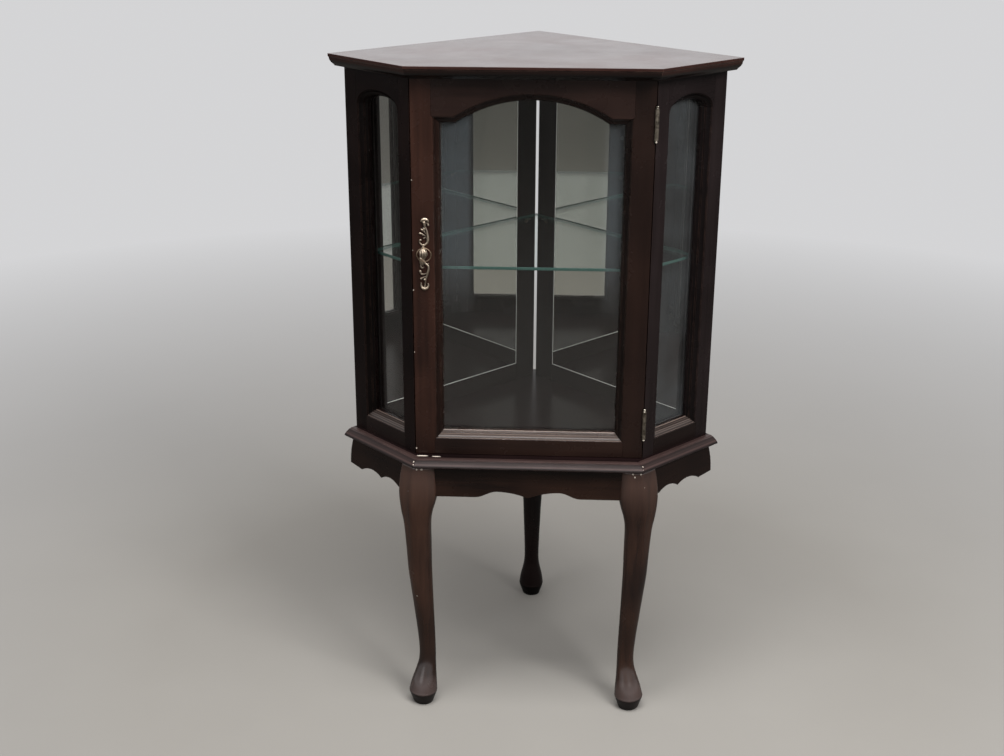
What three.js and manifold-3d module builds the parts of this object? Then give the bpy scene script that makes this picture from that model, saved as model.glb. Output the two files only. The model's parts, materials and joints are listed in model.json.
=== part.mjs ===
import * as THREE from 'three';
import { mergeVertices } from 'three/addons/utils/BufferGeometryUtils.js';
import Module from 'manifold-3d';

// Corner curio cabinet: a glazed five-sided case that stands on a three-legged base.
// Millimetres, +Z up. The door faces -Y, the room corner is at +Y, the floor is at z = 0.
// Each wall piece is drawn in its wall's own frame: x along the wall, y inward, z up.

const wasm = await Module();
wasm.setup();

// Whole cabinet
const totalHeight = 1097;
const caseBottom = 463;
const topFrontWidth = 380;
const topSideRun = 132;
const topThickness = 20;
const topFrontOverhang = 39.5;
const topSideOverhang = 30.76;
const topBackOverhang = 0.35;

// Clearances and overruns shared by all pieces
const seatGap = 0.3;
const cutOverrun = 2;
const mitreGap = 0.9;

// Frames of the door and the two side windows
const frameThickness = 25;
const mouldingWidth = 11.5;
const glassDepth = 19;
const glassThickness = 3;
const rabbetWidth = 6;
const retainerLip = 1;
const windowSill = 39.5;
const jointSetback = 2.1;

const doorBottomGap = 0.7;
const doorTopGap = 2.7;
const doorStileWidth = 45.1;
const doorShoulderDrop = 71.5;
const doorShoulderWidth = 23;
const doorArchRise = 35.5;
const doorArchSteps = 22;

const sideFrontStileWidth = 40;
const sideRearStileWidth = 42.2;
const sideSpringDrop = 56;
const sideArchRise = 15;
const sideArchSteps = 18;

// Case interior
const backThickness = 12;
const mirrorThickness = 3;
const cornerSlit = 5.3;
const cornerStripWidth = 63;
const outerStripWidth = 30;
const stripThickness = 4;
const bottomStripHeight = 31;
const mirrorTopMargin = 20;
const headerHeight = 32;
const headerDepth = 18;
const headerGap = 0.5;

const shelfHeightShare = 0.508;
const shelfThickness = 5;
const shelfFrontGap = 6.5;
const shelfSideGap = 7;
const shelfBackGap = 1;
const shelfTipCut = 4;
const pinRadius = 2.5;
const pinReach = 9;
const pinSocketDepth = 3.4;
const pinPlateThickness = 1.6;
const pinPlateHeight = 8;
const frontPinSetback = 20;
const rearPinSetback = 26;

// Stand
const baseThickness = 12;
const baseFrontMargin = 14.5;
const baseSideMargin = 4.5;
const waistWidth = 22;
const apronThickness = 18;
const apronHeight = 53.5;
const apronFrontSetback = 12;
const apronSideSetback = 11.6;
const frontArchRise = 10.5;
const frontArchReachShare = 0.501;
const sideScallopRise = 8;
const railHeight = 46;
const apronArcSteps = 7;
const kneeWidth = 65;
const ankleSideInset = 11.1;
const ankleFrontInset = 22;
const backLegInset = 38.5;
const legSides = 20;
const blockSize = 34;
const blockHeight = 36;

// Door furniture
const hingeHeight = 48;
const hingeLeafWidth = 17;
const hingeLeafThickness = 1.2;
const hingeLeafGap = 0.2;
const knuckleRadius = 3.25;
const knuckleCount = 5;
const knuckleSides = 14;
const hingeProud = 1.5;
const hingePinRadius = 1.3;
const finialRadius = 2.3;
const finialReach = 4.2;
const upperHingeDrop = 68;
const lowerHingeRise = 59;

const pullHeight = 117;
const pullHalfWidth = 8.5;
const pullThickness = 4;
const pullEdgeInset = 18.6;
const pullHeightShare = 0.5532;
const budRadius = 6.5;
const budHeight = 17;
const budStandoff = 11;
const budNeckRadius = 3;
const budSides = 12;
const budRings = 10;
const ringWidth = 24;
const ringHeight = 23;
const ringBar = 1.6;
const pullScrewRadius = 2;
const pullScrewHeadRadius = 3.8;
const pullScrewHead = 2;
const pullScrewSpacing = 82;

const catchWidth = 40;
const catchHeight = 11;
const catchDepth = 13;
const catchEdgeInset = 53.1;
const catchFaceGap = 1.5;
const strikeWidth = 30;
const strikeHeight = 12;
const strikeThickness = 1.2;

// Colours and surfaces
const surfaces = {
  cherry: { color: 0x2a1512, roughness: 0.32, metalness: 0 },
  interior: { color: 0x241311, roughness: 0.5, metalness: 0 },
  glass: { color: 0xb9d2cc, roughness: 0.05, metalness: 0, transparent: true, opacity: 0.3 },
  mirror: { color: 0xd8dcdc, roughness: 0.03, metalness: 1 },
  brass: { color: 0x8a7547, roughness: 0.38, metalness: 1 },
  steel: { color: 0x9a9a98, roughness: 0.35, metalness: 1 },
  vinyl: { color: 0x1c1614, roughness: 0.6, metalness: 0 },
  plastic: { color: 0x3a2a22, roughness: 0.5, metalness: 0 },
};

// Plan of a five-sided ring, given how far its front, side and back faces lie from the origin
const root2 = Math.SQRT2;
const halfMitre = Math.PI / 8;
const mitreSlope = Math.tan(halfMitre);

function planCorners(front, side, back) {
  return {
    front: [side * root2 - front, -front],
    side: [(side + back) / root2, (back - side) / root2],
    back: [0, back * root2],
  };
}

function planPoints(front, side, back) {
  const corner = planCorners(front, side, back);
  return [
    [-corner.front[0], corner.front[1]],
    corner.front,
    corner.side,
    corner.back,
    [-corner.side[0], corner.side[1]],
  ];
}

const topDepth = topFrontWidth / 2 + 2 * topSideRun;
const topPlan = {
  front: topDepth / 2,
  side: (topFrontWidth / 2 + topDepth / 2) / root2,
  back: topDepth / 2 / root2,
};
const casePlan = {
  front: topPlan.front - topFrontOverhang,
  side: topPlan.side - topSideOverhang,
  back: topPlan.back - topBackOverhang,
};
const basePlan = {
  front: casePlan.front + baseFrontMargin,
  side: casePlan.side + baseSideMargin,
  back: casePlan.back,
};
const waistPlan = {
  front: basePlan.front + waistWidth,
  side: basePlan.side + waistWidth,
  back: casePlan.back,
};
const apronPlan = {
  front: waistPlan.front - apronFrontSetback,
  side: waistPlan.side - apronSideSetback,
  back: casePlan.back,
};
const caseCorners = planCorners(casePlan.front, casePlan.side, casePlan.back);
const apronCorners = planCorners(apronPlan.front, apronPlan.side, apronPlan.back);
const caseTop = totalHeight - topThickness;
const standTop = caseBottom - baseThickness;
const sideLength = Math.hypot(
  caseCorners.side[0] - caseCorners.front[0],
  caseCorners.side[1] - caseCorners.front[1],
);
const backLength = Math.hypot(caseCorners.side[0], caseCorners.back[1] - caseCorners.side[1]);
const innerFace = frameThickness + seatGap;

// Places that follow the case and the stand
const caseHeight = caseTop - caseBottom;
const windowBottom = caseBottom + windowSill;
const doorHalf = caseCorners.front[0] - mitreGap;
const doorSightHalf = doorHalf - doorStileWidth;
const doorShoulderHeight = caseTop - doorShoulderDrop;
const sideSightHalf = (sideLength - sideFrontStileWidth - sideRearStileWidth) / 2;
const sideCentre = sideFrontStileWidth + sideSightHalf;
const sideSpringHeight = caseTop - sideSpringDrop;
const shelfHeight = caseBottom + caseHeight * shelfHeightShare;
const pullX = pullEdgeInset - doorHalf;
const pullZ = caseBottom + caseHeight * pullHeightShare;
const catchX = catchEdgeInset - doorHalf;
const hingeHeights = { upper: caseTop - upperHingeDrop, lower: caseBottom + lowerHingeRise };
const ankleX = apronCorners.front[0] - ankleSideInset;
const ankleY = ankleFrontInset - apronPlan.front;
const backLegY = caseCorners.back[1] - backLegInset;

// Solid helpers
function plain(geometry) {
  const bare = geometry.clone();
  bare.deleteAttribute('normal');
  bare.deleteAttribute('uv');
  const welded = mergeVertices(bare);
  const corners = welded.index.array;
  const kept = [];
  for (let i = 0; i < corners.length; i += 3) {
    const [a, b, c] = corners.slice(i, i + 3);
    if (a !== b && b !== c && c !== a) kept.push(a, b, c);
  }
  welded.setIndex(kept);
  return welded;
}

function toSolid(geometry) {
  return new wasm.Manifold(new wasm.Mesh({
    numProp: 3,
    vertProperties: new Float32Array(geometry.attributes.position.array),
    triVerts: new Uint32Array(geometry.index.array),
  }));
}

function toGeometry(solid) {
  const mesh = solid.getMesh();
  const geometry = new THREE.BufferGeometry();
  geometry.setAttribute('position', new THREE.BufferAttribute(mesh.vertProperties, mesh.numProp));
  geometry.setIndex(new THREE.BufferAttribute(mesh.triVerts, 1));
  return geometry;
}

function cut(geometry, ...tools) {
  let solid = toSolid(geometry);
  for (const tool of tools) solid = solid.subtract(toSolid(tool));
  return toGeometry(solid);
}

function join(geometry, ...others) {
  let solid = toSolid(geometry);
  for (const other of others) solid = solid.add(toSolid(other));
  return toGeometry(solid);
}

function common(geometry, other) {
  return toGeometry(toSolid(geometry).intersect(toSolid(other)));
}

function shapeOf(points) {
  return new THREE.Shape(points.map(([x, y]) => new THREE.Vector2(x, y)));
}

// A plan outline raised from one height to another
function standing(points, low, high) {
  const geometry = new THREE.ExtrudeGeometry(shapeOf(points), { depth: high - low, bevelEnabled: false });
  geometry.translate(0, 0, low);
  return plain(geometry);
}

// An outline in x and z, as deep as from front to back along y
function facing(points, front, back, hole) {
  const shape = shapeOf(points);
  if (hole) shape.holes.push(shapeOf(hole));
  const geometry = new THREE.ExtrudeGeometry(shape, { depth: back - front, bevelEnabled: false });
  geometry.rotateX(Math.PI / 2);
  geometry.translate(0, back, 0);
  return plain(geometry);
}

function box(low, high) {
  const geometry = new THREE.BoxGeometry(high[0] - low[0], high[1] - low[1], high[2] - low[2]);
  geometry.translate((low[0] + high[0]) / 2, (low[1] + high[1]) / 2, (low[2] + high[2]) / 2);
  return plain(geometry);
}

// A round bar along z, centred on the axis given
function upright(radius, low, high, sides, x, y) {
  const geometry = new THREE.CylinderGeometry(radius, radius, high - low, sides);
  geometry.rotateX(Math.PI / 2);
  geometry.translate(x, y, (low + high) / 2);
  return plain(geometry);
}

// A round bar along y, centred on the axis given
function crosswise(radius, front, back, sides, x, z) {
  const geometry = new THREE.CylinderGeometry(radius, radius, back - front, sides);
  geometry.translate(x, (front + back) / 2, z);
  return plain(geometry);
}

function signedVolume(points, index) {
  let volume = 0;
  const a = new THREE.Vector3();
  const b = new THREE.Vector3();
  const c = new THREE.Vector3();
  for (let i = 0; i < index.length; i += 3) {
    a.fromArray(points[index[i]]);
    b.fromArray(points[index[i + 1]]);
    c.fromArray(points[index[i + 2]]);
    volume += a.dot(b.cross(c));
  }
  return volume;
}

function turnedOver(index) {
  const turned = [];
  for (let i = 0; i < index.length; i += 3) turned.push(index[i + 1], index[i], index[i + 2]);
  return turned;
}

// A closed skin over rings of equal point count, flat(point) giving each end ring's plane
function loft(rings, flat) {
  const count = rings[0].length;
  const points = rings.flat();
  const index = [];
  for (let ring = 0; ring < rings.length - 1; ring += 1) {
    for (let i = 0; i < count; i += 1) {
      const a = ring * count + i;
      const b = ring * count + (i + 1) % count;
      index.push(a, b, b + count, a, b + count, a + count);
    }
  }
  const caps = [rings[0], rings[rings.length - 1]];
  caps.forEach((ring, end) => {
    const outline = ring.map((point) => new THREE.Vector2(...flat(point)));
    const clockwise = THREE.ShapeUtils.isClockWise(outline);
    const faces = THREE.ShapeUtils.triangulateShape(outline, []);
    const start = end * (points.length - count);
    // The side faces walk each ring forwards at its start and backwards at its end
    for (const [a, b, c] of faces) {
      if ((end === 0) !== clockwise) index.push(start + a, start + c, start + b);
      else index.push(start + a, start + b, start + c);
    }
  });
  return { points, index };
}

function skin(rings, flat) {
  const { points, index } = loft(rings, flat);
  const geometry = new THREE.BufferGeometry();
  geometry.setAttribute('position', new THREE.Float32BufferAttribute(points.flat(), 3));
  geometry.setIndex(signedVolume(points, index) > 0 ? index : turnedOver(index));
  return geometry;
}

function mirrored(geometry) {
  const copy = geometry.clone();
  copy.scale(-1, 1, 1);
  copy.setIndex(turnedOver(copy.index.array));
  return copy;
}

// The cabinet and the frame of each wall
const cabinet = new THREE.Group();
const walls = {
  world: cabinet,
  front: wallGroup(0, -casePlan.front, 0),
  rightSide: wallGroup(...caseCorners.front, Math.PI / 4),
  leftSide: wallGroup(-caseCorners.front[0], caseCorners.front[1], -Math.PI / 4),
  rightBack: wallGroup(...caseCorners.side, Math.PI * 3 / 4),
  leftBack: wallGroup(-caseCorners.side[0], caseCorners.side[1], -Math.PI * 3 / 4),
  rightApron: wallGroup(...apronCorners.front, Math.PI / 4),
  leftApron: wallGroup(-apronCorners.front[0], apronCorners.front[1], -Math.PI / 4),
};
const hingeAxis = [
  caseCorners.front[0] + hingeProud * Math.sin(halfMitre),
  caseCorners.front[1] - hingeProud * Math.cos(halfMitre),
];
// In the hinge frame y runs inward along the mitre between the door and the side window
walls.hinge = wallGroup(...hingeAxis, halfMitre);

function wallGroup(x, y, turn) {
  const group = new THREE.Group();
  group.position.set(x, y, 0);
  group.rotation.z = turn;
  group.updateMatrixWorld();
  cabinet.add(group);
  return group;
}

// Redraws a solid of one wall's frame in another's
function carried(geometry, from, to) {
  const copy = geometry.clone();
  copy.applyMatrix4(walls[from].matrixWorld);
  copy.applyMatrix4(walls[to].matrixWorld.clone().invert());
  return copy;
}

function addPart(name, wall, surface, geometry) {
  const mesh = new THREE.Mesh(geometry, new THREE.MeshStandardMaterial(surfaces[surface]));
  mesh.name = name;
  walls[wall].add(mesh);
}

// Adds the right-hand piece and its mirror image on the left
function addPair(name, wallEnd, surface, geometry) {
  addPart(`right_${name}`, `right${wallEnd}`, surface, geometry);
  addPart(`left_${name}`, `left${wallEnd}`, surface, mirrored(geometry));
}

// Moulding section round each window, from the face inward: outset share and depth share
const mouldingShares = [
  [1, 0], [0.93, 0.09], [0.84, 0.09], [0.74, 0.2], [0.55, 0.3], [0.36, 0.36],
  [0.3, 0.46], [0.2, 0.46], [0.12, 0.58], [0, 0.66], [0, 1],
];

// An outline at y = depth
function placed(outline, depth) {
  return outline.map(([x, z]) => [x, depth, z]);
}

// All that a window and its rabbet remove from a frame
function windowCutter(outline) {
  const rings = [placed(outline(mouldingWidth), -cutOverrun)];
  for (const [outset, depth] of mouldingShares) {
    rings.push(placed(outline(mouldingWidth * outset), glassDepth * depth));
  }
  rings.push(placed(outline(rabbetWidth), glassDepth));
  rings.push(placed(outline(rabbetWidth), frameThickness + cutOverrun));
  return skin(rings, ([x, , z]) => [x, z]);
}

function doorOutline(outset) {
  const half = doorSightHalf + outset;
  const shoulder = doorShoulderHeight + outset;
  const chord = doorSightHalf - doorShoulderWidth;
  const radius = (chord ** 2 + doorArchRise ** 2) / (2 * doorArchRise) + outset;
  const centre = doorShoulderHeight + doorArchRise + outset - radius;
  const start = Math.asin((shoulder - centre) / radius);
  const points = [[-half, windowBottom - outset], [half, windowBottom - outset], [half, shoulder]];
  for (let step = 0; step <= doorArchSteps; step += 1) {
    const angle = start + (Math.PI - 2 * start) * step / doorArchSteps;
    points.push([radius * Math.cos(angle), centre + radius * Math.sin(angle)]);
  }
  points.push([-half, shoulder]);
  return points;
}

function sideOutline(outset) {
  const half = sideSightHalf + outset;
  const rise = sideArchRise + outset;
  const points = [[sideCentre - half, windowBottom - outset], [sideCentre + half, windowBottom - outset]];
  for (let step = 0; step <= sideArchSteps; step += 1) {
    const angle = Math.PI * step / sideArchSteps;
    points.push([sideCentre + half * Math.cos(angle), sideSpringHeight + rise * Math.sin(angle)]);
  }
  return points;
}

// Splits a frame into two stiles and two rails along square joints and mitred mouldings
function framedPanel(panel) {
  const { plan, low, high, centre, sightHalf, outline, topJoint } = panel;
  const jointHalf = sightHalf + mouldingWidth + jointSetback;
  const frame = cut(standing(plan, low, high), windowCutter(outline));
  const back = frameThickness + cutOverrun;

  function bottomRegion(grow) {
    const joint = windowBottom - mouldingWidth - jointSetback + grow * root2;
    const sight = windowBottom + cutOverrun + grow * root2;
    return facing([
      [centre - jointHalf - grow, low - cutOverrun],
      [centre + jointHalf + grow, low - cutOverrun],
      [centre + jointHalf + grow, joint],
      [centre + sightHalf - cutOverrun, sight],
      [centre - sightHalf + cutOverrun, sight],
      [centre - jointHalf - grow, joint],
    ], -cutOverrun, back);
  }

  function topRegion(grow) {
    const joint = topJoint.outer - grow * root2;
    const sight = topJoint.inner - grow * root2;
    return facing([
      [centre - jointHalf - grow, joint],
      [centre - sightHalf + cutOverrun, sight],
      [centre + sightHalf - cutOverrun, sight],
      [centre + jointHalf + grow, joint],
      [centre + jointHalf + grow, high + cutOverrun],
      [centre - jointHalf - grow, high + cutOverrun],
    ], -cutOverrun, back);
  }

  const stiles = cut(frame, bottomRegion(seatGap / 2), topRegion(seatGap / 2));
  const reach = jointHalf * 2;
  const rightHalf = box([centre, -cutOverrun, low - cutOverrun], [centre + reach, back, high + cutOverrun]);
  const pane = outline(rabbetWidth - seatGap);
  const paneFront = glassDepth + seatGap;
  const paneBack = paneFront + glassThickness;
  return {
    nearStile: cut(stiles, rightHalf),
    farStile: common(stiles, rightHalf),
    bottomRail: common(frame, bottomRegion(-seatGap / 2)),
    topRail: common(frame, topRegion(-seatGap / 2)),
    glass: facing(pane, paneFront, paneBack),
    retainer: facing(pane, paneBack + seatGap, frameThickness, outline(retainerLip)),
  };
}

// Top board: square back edges, and a fillet over an ogee on the three edges that show
const topEdgeShares = [[1, 0], [1, 0.2], [0.86, 0.3], [0.78, 0.5], [0.5, 0.72], [0.2, 0.86], [0, 1]];
const topEdgeDepth = 13;

function topBoard() {
  const rings = topEdgeShares.map(([outset, drop]) => {
    const inset = topEdgeDepth * (1 - outset);
    const height = totalHeight - topThickness * drop;
    return planPoints(topPlan.front - inset, topPlan.side - inset, topPlan.back)
      .map(([x, y]) => [x, y, height]);
  });
  return skin(rings, ([x, y]) => [x, y]);
}

addPart('top_board', 'world', 'cherry', topBoard());
addPart('base_board', 'world', 'cherry', standing(
  planPoints(basePlan.front, basePlan.side, basePlan.back), standTop, caseBottom));

// Hinge solids in the hinge frame
function hingeMortise(height, side) {
  const half = hingeHeight / 2 + seatGap;
  const near = side * seatGap;
  const far = side * (hingeLeafGap + hingeLeafThickness + seatGap);
  const relief = finialReach + seatGap;
  return [
    box(
      [Math.min(near, far), -cutOverrun, height - half],
      [Math.max(near, far), hingeLeafWidth + seatGap, height + half],
    ),
    upright(knuckleRadius + 2 * seatGap, height - half - relief, height + half + relief, knuckleSides, 0, 0),
  ];
}

function hingeMortises(side, wall) {
  return Object.values(hingeHeights)
    .flatMap((height) => hingeMortise(height, side))
    .map((tool) => carried(tool, 'hinge', wall));
}

// Door
const doorLow = caseBottom + doorBottomGap;
const doorHigh = caseTop - doorTopGap;
const doorBackHalf = doorHalf - frameThickness * mitreSlope;
const door = framedPanel({
  plan: [[-doorHalf, 0], [doorHalf, 0], [doorBackHalf, frameThickness], [-doorBackHalf, frameThickness]],
  low: doorLow,
  high: doorHigh,
  centre: 0,
  sightHalf: doorSightHalf,
  outline: doorOutline,
  topJoint: {
    outer: doorShoulderHeight + mouldingWidth + jointSetback,
    inner: doorShoulderHeight - cutOverrun,
  },
});
const pullScrewHeights = [pullZ - pullScrewSpacing / 2, pullZ + pullScrewSpacing / 2];
const pullScrewHoles = pullScrewHeights.map((height) => crosswise(
  pullScrewRadius + seatGap, -cutOverrun, frameThickness + cutOverrun, knuckleSides, pullX, height));
addPart('door_pull_stile', 'front', 'cherry', cut(door.nearStile, ...pullScrewHoles));
addPart('door_hinge_stile', 'front', 'cherry', cut(door.farStile, ...hingeMortises(-1, 'front')));
addPart('door_top_rail', 'front', 'cherry', door.topRail);
addPart('door_bottom_rail', 'front', 'cherry', door.bottomRail);
addPart('door_glass', 'front', 'glass', door.glass);
addPart('door_glass_retainer', 'front', 'vinyl', door.retainer);

// Side windows: the near stile is at the front corner, the far stile at the back wall
const side = framedPanel({
  plan: [
    [mitreGap, 0],
    [sideLength, 0],
    [sideLength, frameThickness],
    [mitreGap + frameThickness * mitreSlope, frameThickness],
  ],
  low: caseBottom,
  high: caseTop,
  centre: sideCentre,
  sightHalf: sideSightHalf,
  outline: sideOutline,
  topJoint: { outer: sideSpringHeight, inner: sideSpringHeight },
});

// Shelf pins: a round peg behind an angle on which the glass lies
const shelfLow = shelfHeight - shelfThickness;
const pinTop = shelfLow - seatGap;
const pinAxis = pinTop - pinPlateHeight / 2;

function pinSocket(x, face) {
  return crosswise(pinRadius + seatGap, face - pinSocketDepth, face + cutOverrun, knuckleSides, x, pinAxis);
}

function shelfPin(x, face) {
  const near = face + seatGap;
  const angle = [
    [near, pinTop],
    [near, pinTop - pinPlateHeight],
    [near + pinPlateThickness, pinTop - pinPlateHeight],
    [near + pinPlateThickness, pinTop - pinPlateThickness],
    [face + pinReach, pinTop - pinPlateThickness],
    [face + pinReach, pinTop],
  ];
  const half = pinPlateHeight / 2;
  const rings = [x - half, x + half].map((end) => angle.map(([y, z]) => [end, y, z]));
  const pegEnd = near + pinPlateThickness / 2;
  const peg = crosswise(pinRadius, face - pinSocketDepth + seatGap, pegEnd, knuckleSides, x, pinAxis);
  return join(skin(rings, ([, y, z]) => [y, z]), peg);
}

const frontPinX = frontPinSetback;
const frontSocket = pinSocket(frontPinX, frameThickness);
const nearStile = cut(side.nearStile, frontSocket);
addPart('right_front_stile', 'rightSide', 'cherry', cut(nearStile, ...hingeMortises(1, 'rightSide')));
addPart('left_front_stile', 'leftSide', 'cherry', mirrored(nearStile));
addPair('rear_stile', 'Side', 'cherry', side.farStile);
addPair('side_top_rail', 'Side', 'cherry', side.topRail);
addPair('side_bottom_rail', 'Side', 'cherry', side.bottomRail);
addPair('side_glass', 'Side', 'glass', side.glass);
addPair('side_glass_retainer', 'Side', 'vinyl', side.retainer);
addPair('front_shelf_pin', 'Side', 'brass', shelfPin(frontPinX, frameThickness));

// Back walls stop short of the room corner and leave a narrow slit there
const slitX = backLength - cornerSlit / 2 * root2;
const stripNear = backLength - cornerStripWidth;
const mirrorFront = backThickness + seatGap;
const stripBack = mirrorFront + stripThickness;
const rearPinX = backLength - stripBack - rearPinSetback;
const mirrorLow = caseBottom + bottomStripHeight;
const outerStripEnd = innerFace + outerStripWidth;
addPair('back_panel', 'Back', 'interior', standing([
  [innerFace, 0],
  [slitX, 0],
  [slitX - backThickness, backThickness],
  [innerFace, backThickness],
], caseBottom, caseTop));
addPair('mirror', 'Back', 'mirror', box(
  [outerStripEnd + seatGap, mirrorFront, mirrorLow],
  [stripNear - seatGap, mirrorFront + mirrorThickness, caseTop - mirrorTopMargin],
));
const cornerStrip = standing([
  [stripNear, mirrorFront],
  [slitX - mirrorFront, mirrorFront],
  [slitX - stripBack, stripBack],
  [stripNear, stripBack],
], caseBottom, caseTop);
addPair('corner_strip', 'Back', 'interior', cut(cornerStrip, pinSocket(rearPinX, stripBack)));
// The bottom strip turns up beside the rear stile and holds the mirror's outer edge too
addPair('bottom_strip', 'Back', 'interior', join(
  box([innerFace, mirrorFront, caseBottom], [stripNear - seatGap, stripBack, mirrorLow - seatGap]),
  box([innerFace, mirrorFront, caseBottom], [outerStripEnd, stripBack, caseTop]),
));
addPair('rear_shelf_pin', 'Back', 'brass', shelfPin(rearPinX, stripBack));

// Header behind the top of the door: it ties the side walls and stops the door
const headerFront = frameThickness + headerGap;
const headerBack = headerFront + headerDepth;
const headerSide = casePlan.side - innerFace;
const headerHalfFront = headerSide * root2 - casePlan.front + headerFront;
const headerHalfBack = headerSide * root2 - casePlan.front + headerBack;
const headerLow = caseTop - headerHeight;
addPart('door_header', 'front', 'interior', standing([
  [-headerHalfFront, headerFront],
  [headerHalfFront, headerFront],
  [headerHalfBack, headerBack],
  [-headerHalfBack, headerBack],
], headerLow, caseTop));

// Magnetic catch under the header, and its strike plate on the door
addPart('magnetic_catch', 'front', 'plastic', box(
  [catchX - catchWidth / 2, headerFront + catchFaceGap, headerLow - catchHeight],
  [catchX + catchWidth / 2, headerFront + catchFaceGap + catchDepth, headerLow],
));
const strikeLow = headerLow - catchHeight / 2 - strikeHeight / 2;
addPart('strike_plate', 'front', 'steel', box(
  [catchX - strikeWidth / 2, frameThickness + seatGap, strikeLow],
  [catchX + strikeWidth / 2, frameThickness + seatGap + strikeThickness, headerLow - seatGap],
));

// Glass shelf: its front edge runs straight behind the door, its back tips are clipped
const shelfPlan = {
  front: casePlan.front - frameThickness - shelfFrontGap,
  side: casePlan.side - frameThickness - shelfSideGap,
  back: casePlan.back - stripBack - shelfBackGap,
};

function shelfOutline() {
  const corner = planCorners(shelfPlan.front, shelfPlan.side, shelfPlan.back);
  const tip = shelfTipCut / root2;
  const [sideX, sideY] = corner.side;
  const right = [
    corner.front,
    [sideX - tip, sideY - tip],
    [sideX - tip, sideY + tip],
  ];
  const left = right.map(([x, y]) => [-x, y]).reverse();
  return [...right, corner.back, ...left];
}

addPart('glass_shelf', 'world', 'glass', standing(shelfOutline(), shelfLow, shelfHeight));

// Waist moulding: outset share and height share of its section, mitred at the front corners
const waistShares = [
  [0, 1], [0.34, 1], [0.42, 0.92], [0.5, 0.92], [0.8, 0.6], [0.96, 0.34], [1, 0.22],
  [0.97, 0.08], [0.86, 0.04], [0.72, 0],  [0, 0],
];

function waistPoint([outset, height], plan) {
  const out = waistWidth * outset + (outset > 0 ? 0 : seatGap);
  const corner = planCorners(basePlan.front + out, basePlan.side + out, basePlan.back);
  return [...corner[plan], standTop + baseThickness * height];
}

function frontWaist() {
  const right = waistShares.map((share) => waistPoint(share, 'front'));
  const mitre = seatGap / 2 / Math.cos(halfMitre);
  const end = right.map(([x, y, z]) => [x - mitre, y, z]);
  const start = end.map(([x, y, z]) => [-x, y, z]);
  return skin([start, end], ([, y, z]) => [y, z]);
}

function rightWaist() {
  const mitre = seatGap / 2 / Math.cos(halfMitre) / root2;
  const start = waistShares.map((share) => waistPoint(share, 'front'))
    .map(([x, y, z]) => [x + mitre, y + mitre, z]);
  const end = waistShares.map((share) => waistPoint(share, 'side'));
  return skin([start, end], ([x, y, z]) => [x - y, z]);
}

addPart('front_waist_moulding', 'world', 'cherry', frontWaist());
addPart('right_waist_moulding', 'world', 'cherry', rightWaist());
addPart('left_waist_moulding', 'world', 'cherry', mirrored(rightWaist()));

// Front legs: height share, then how far the inner, outer, front and rear outlines lie from the
// ankle, as shares of the knee's width, and how square the section is
const frontLegShares = [
  [1, -0.331, 0.546, 0.43, -0.385, 3.2],
  [0.942, -0.342, 0.62, 0.47, -0.4, 3],
  [0.891, -0.351, 0.649, 0.485, -0.41, 2.7],
  [0.854, -0.3, 0.64, 0.48, -0.385, 2.5],
  [0.809, -0.21, 0.6, 0.455, -0.33, 2.3],
  [0.763, -0.158, 0.543, 0.415, -0.29, 2.2],
  [0.665, -0.155, 0.495, 0.35, -0.275, 2.1],
  [0.561, -0.157, 0.458, 0.3, -0.275, 2.1],
  [0.47, -0.17, 0.395, 0.245, -0.275, 2],
  [0.381, -0.186, 0.331, 0.195, -0.272, 2],
  [0.29, -0.205, 0.262, 0.155, -0.265, 2],
  [0.21, -0.218, 0.22, 0.15, -0.256, 2],
  [0.163, -0.222, 0.238, 0.2, -0.246, 2],
  [0.125, -0.232, 0.318, 0.33, -0.232, 2],
  [0.09, -0.25, 0.41, 0.47, -0.212, 2],
  [0.062, -0.262, 0.475, 0.545, -0.192, 2],
  [0.05, -0.264, 0.488, 0.561, -0.184, 2],
  [0.044, -0.258, 0.482, 0.555, -0.178, 2],
  [0.022, -0.205, 0.43, 0.502, -0.126, 2],
  [0, -0.15, 0.374, 0.446, -0.07, 2],
];
// Back leg: height share, half width, then the outset towards the room corner, and squareness
const backLegShares = [
  [1, 0.4, 0, 6],
  [0.891, 0.4, 0, 6],
  [0.85, 0.39, 0.01, 4],
  [0.8, 0.35, 0.02, 2.6],
  [0.763, 0.335, 0.03, 2],
  [0.665, 0.32, 0.04, 2],
  [0.561, 0.3, 0.035, 2],
  [0.381, 0.262, -0.01, 2],
  [0.29, 0.235, -0.05, 2],
  [0.21, 0.219, -0.055, 2],
  [0.163, 0.23, -0.04, 2],
  [0.125, 0.278, -0.01, 2],
  [0.09, 0.334, 0.025, 2],
  [0.062, 0.366, 0.045, 2],
  [0.05, 0.372, 0.049, 2],
  [0.044, 0.366, 0.049, 2],
  [0.022, 0.314, 0.049, 2],
  [0, 0.26, 0.049, 2],
];

// One rounded section of a leg: centre, half widths and squareness, turned about its centre
function legRing(x, y, halfX, halfY, height, squareness, turn) {
  const ring = [];
  for (let side = 0; side < legSides; side += 1) {
    const angle = 2 * Math.PI * side / legSides;
    const cos = Math.cos(angle);
    const sin = Math.sin(angle);
    const reach = (Math.abs(cos) ** squareness + Math.abs(sin) ** squareness) ** (-1 / squareness);
    const u = halfX * cos * reach;
    const v = halfY * sin * reach;
    ring.push([
      x + u * Math.cos(turn) - v * Math.sin(turn),
      y + u * Math.sin(turn) + v * Math.cos(turn),
      height,
    ]);
  }
  return ring;
}

// grow fattens the leg all round, for the cuts that it makes in its neighbours
function rightLeg(grow) {
  const rings = frontLegShares.map(([height, inner, outer, front, rear, squareness]) => legRing(
    ankleX + kneeWidth * (inner + outer) / 2,
    ankleY - kneeWidth * (front + rear) / 2,
    kneeWidth * (outer - inner) / 2 + grow,
    kneeWidth * (front - rear) / 2 + grow,
    standTop * height,
    squareness,
    0,
  ));
  return skin(rings, ([x, y]) => [x, y]);
}

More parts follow.
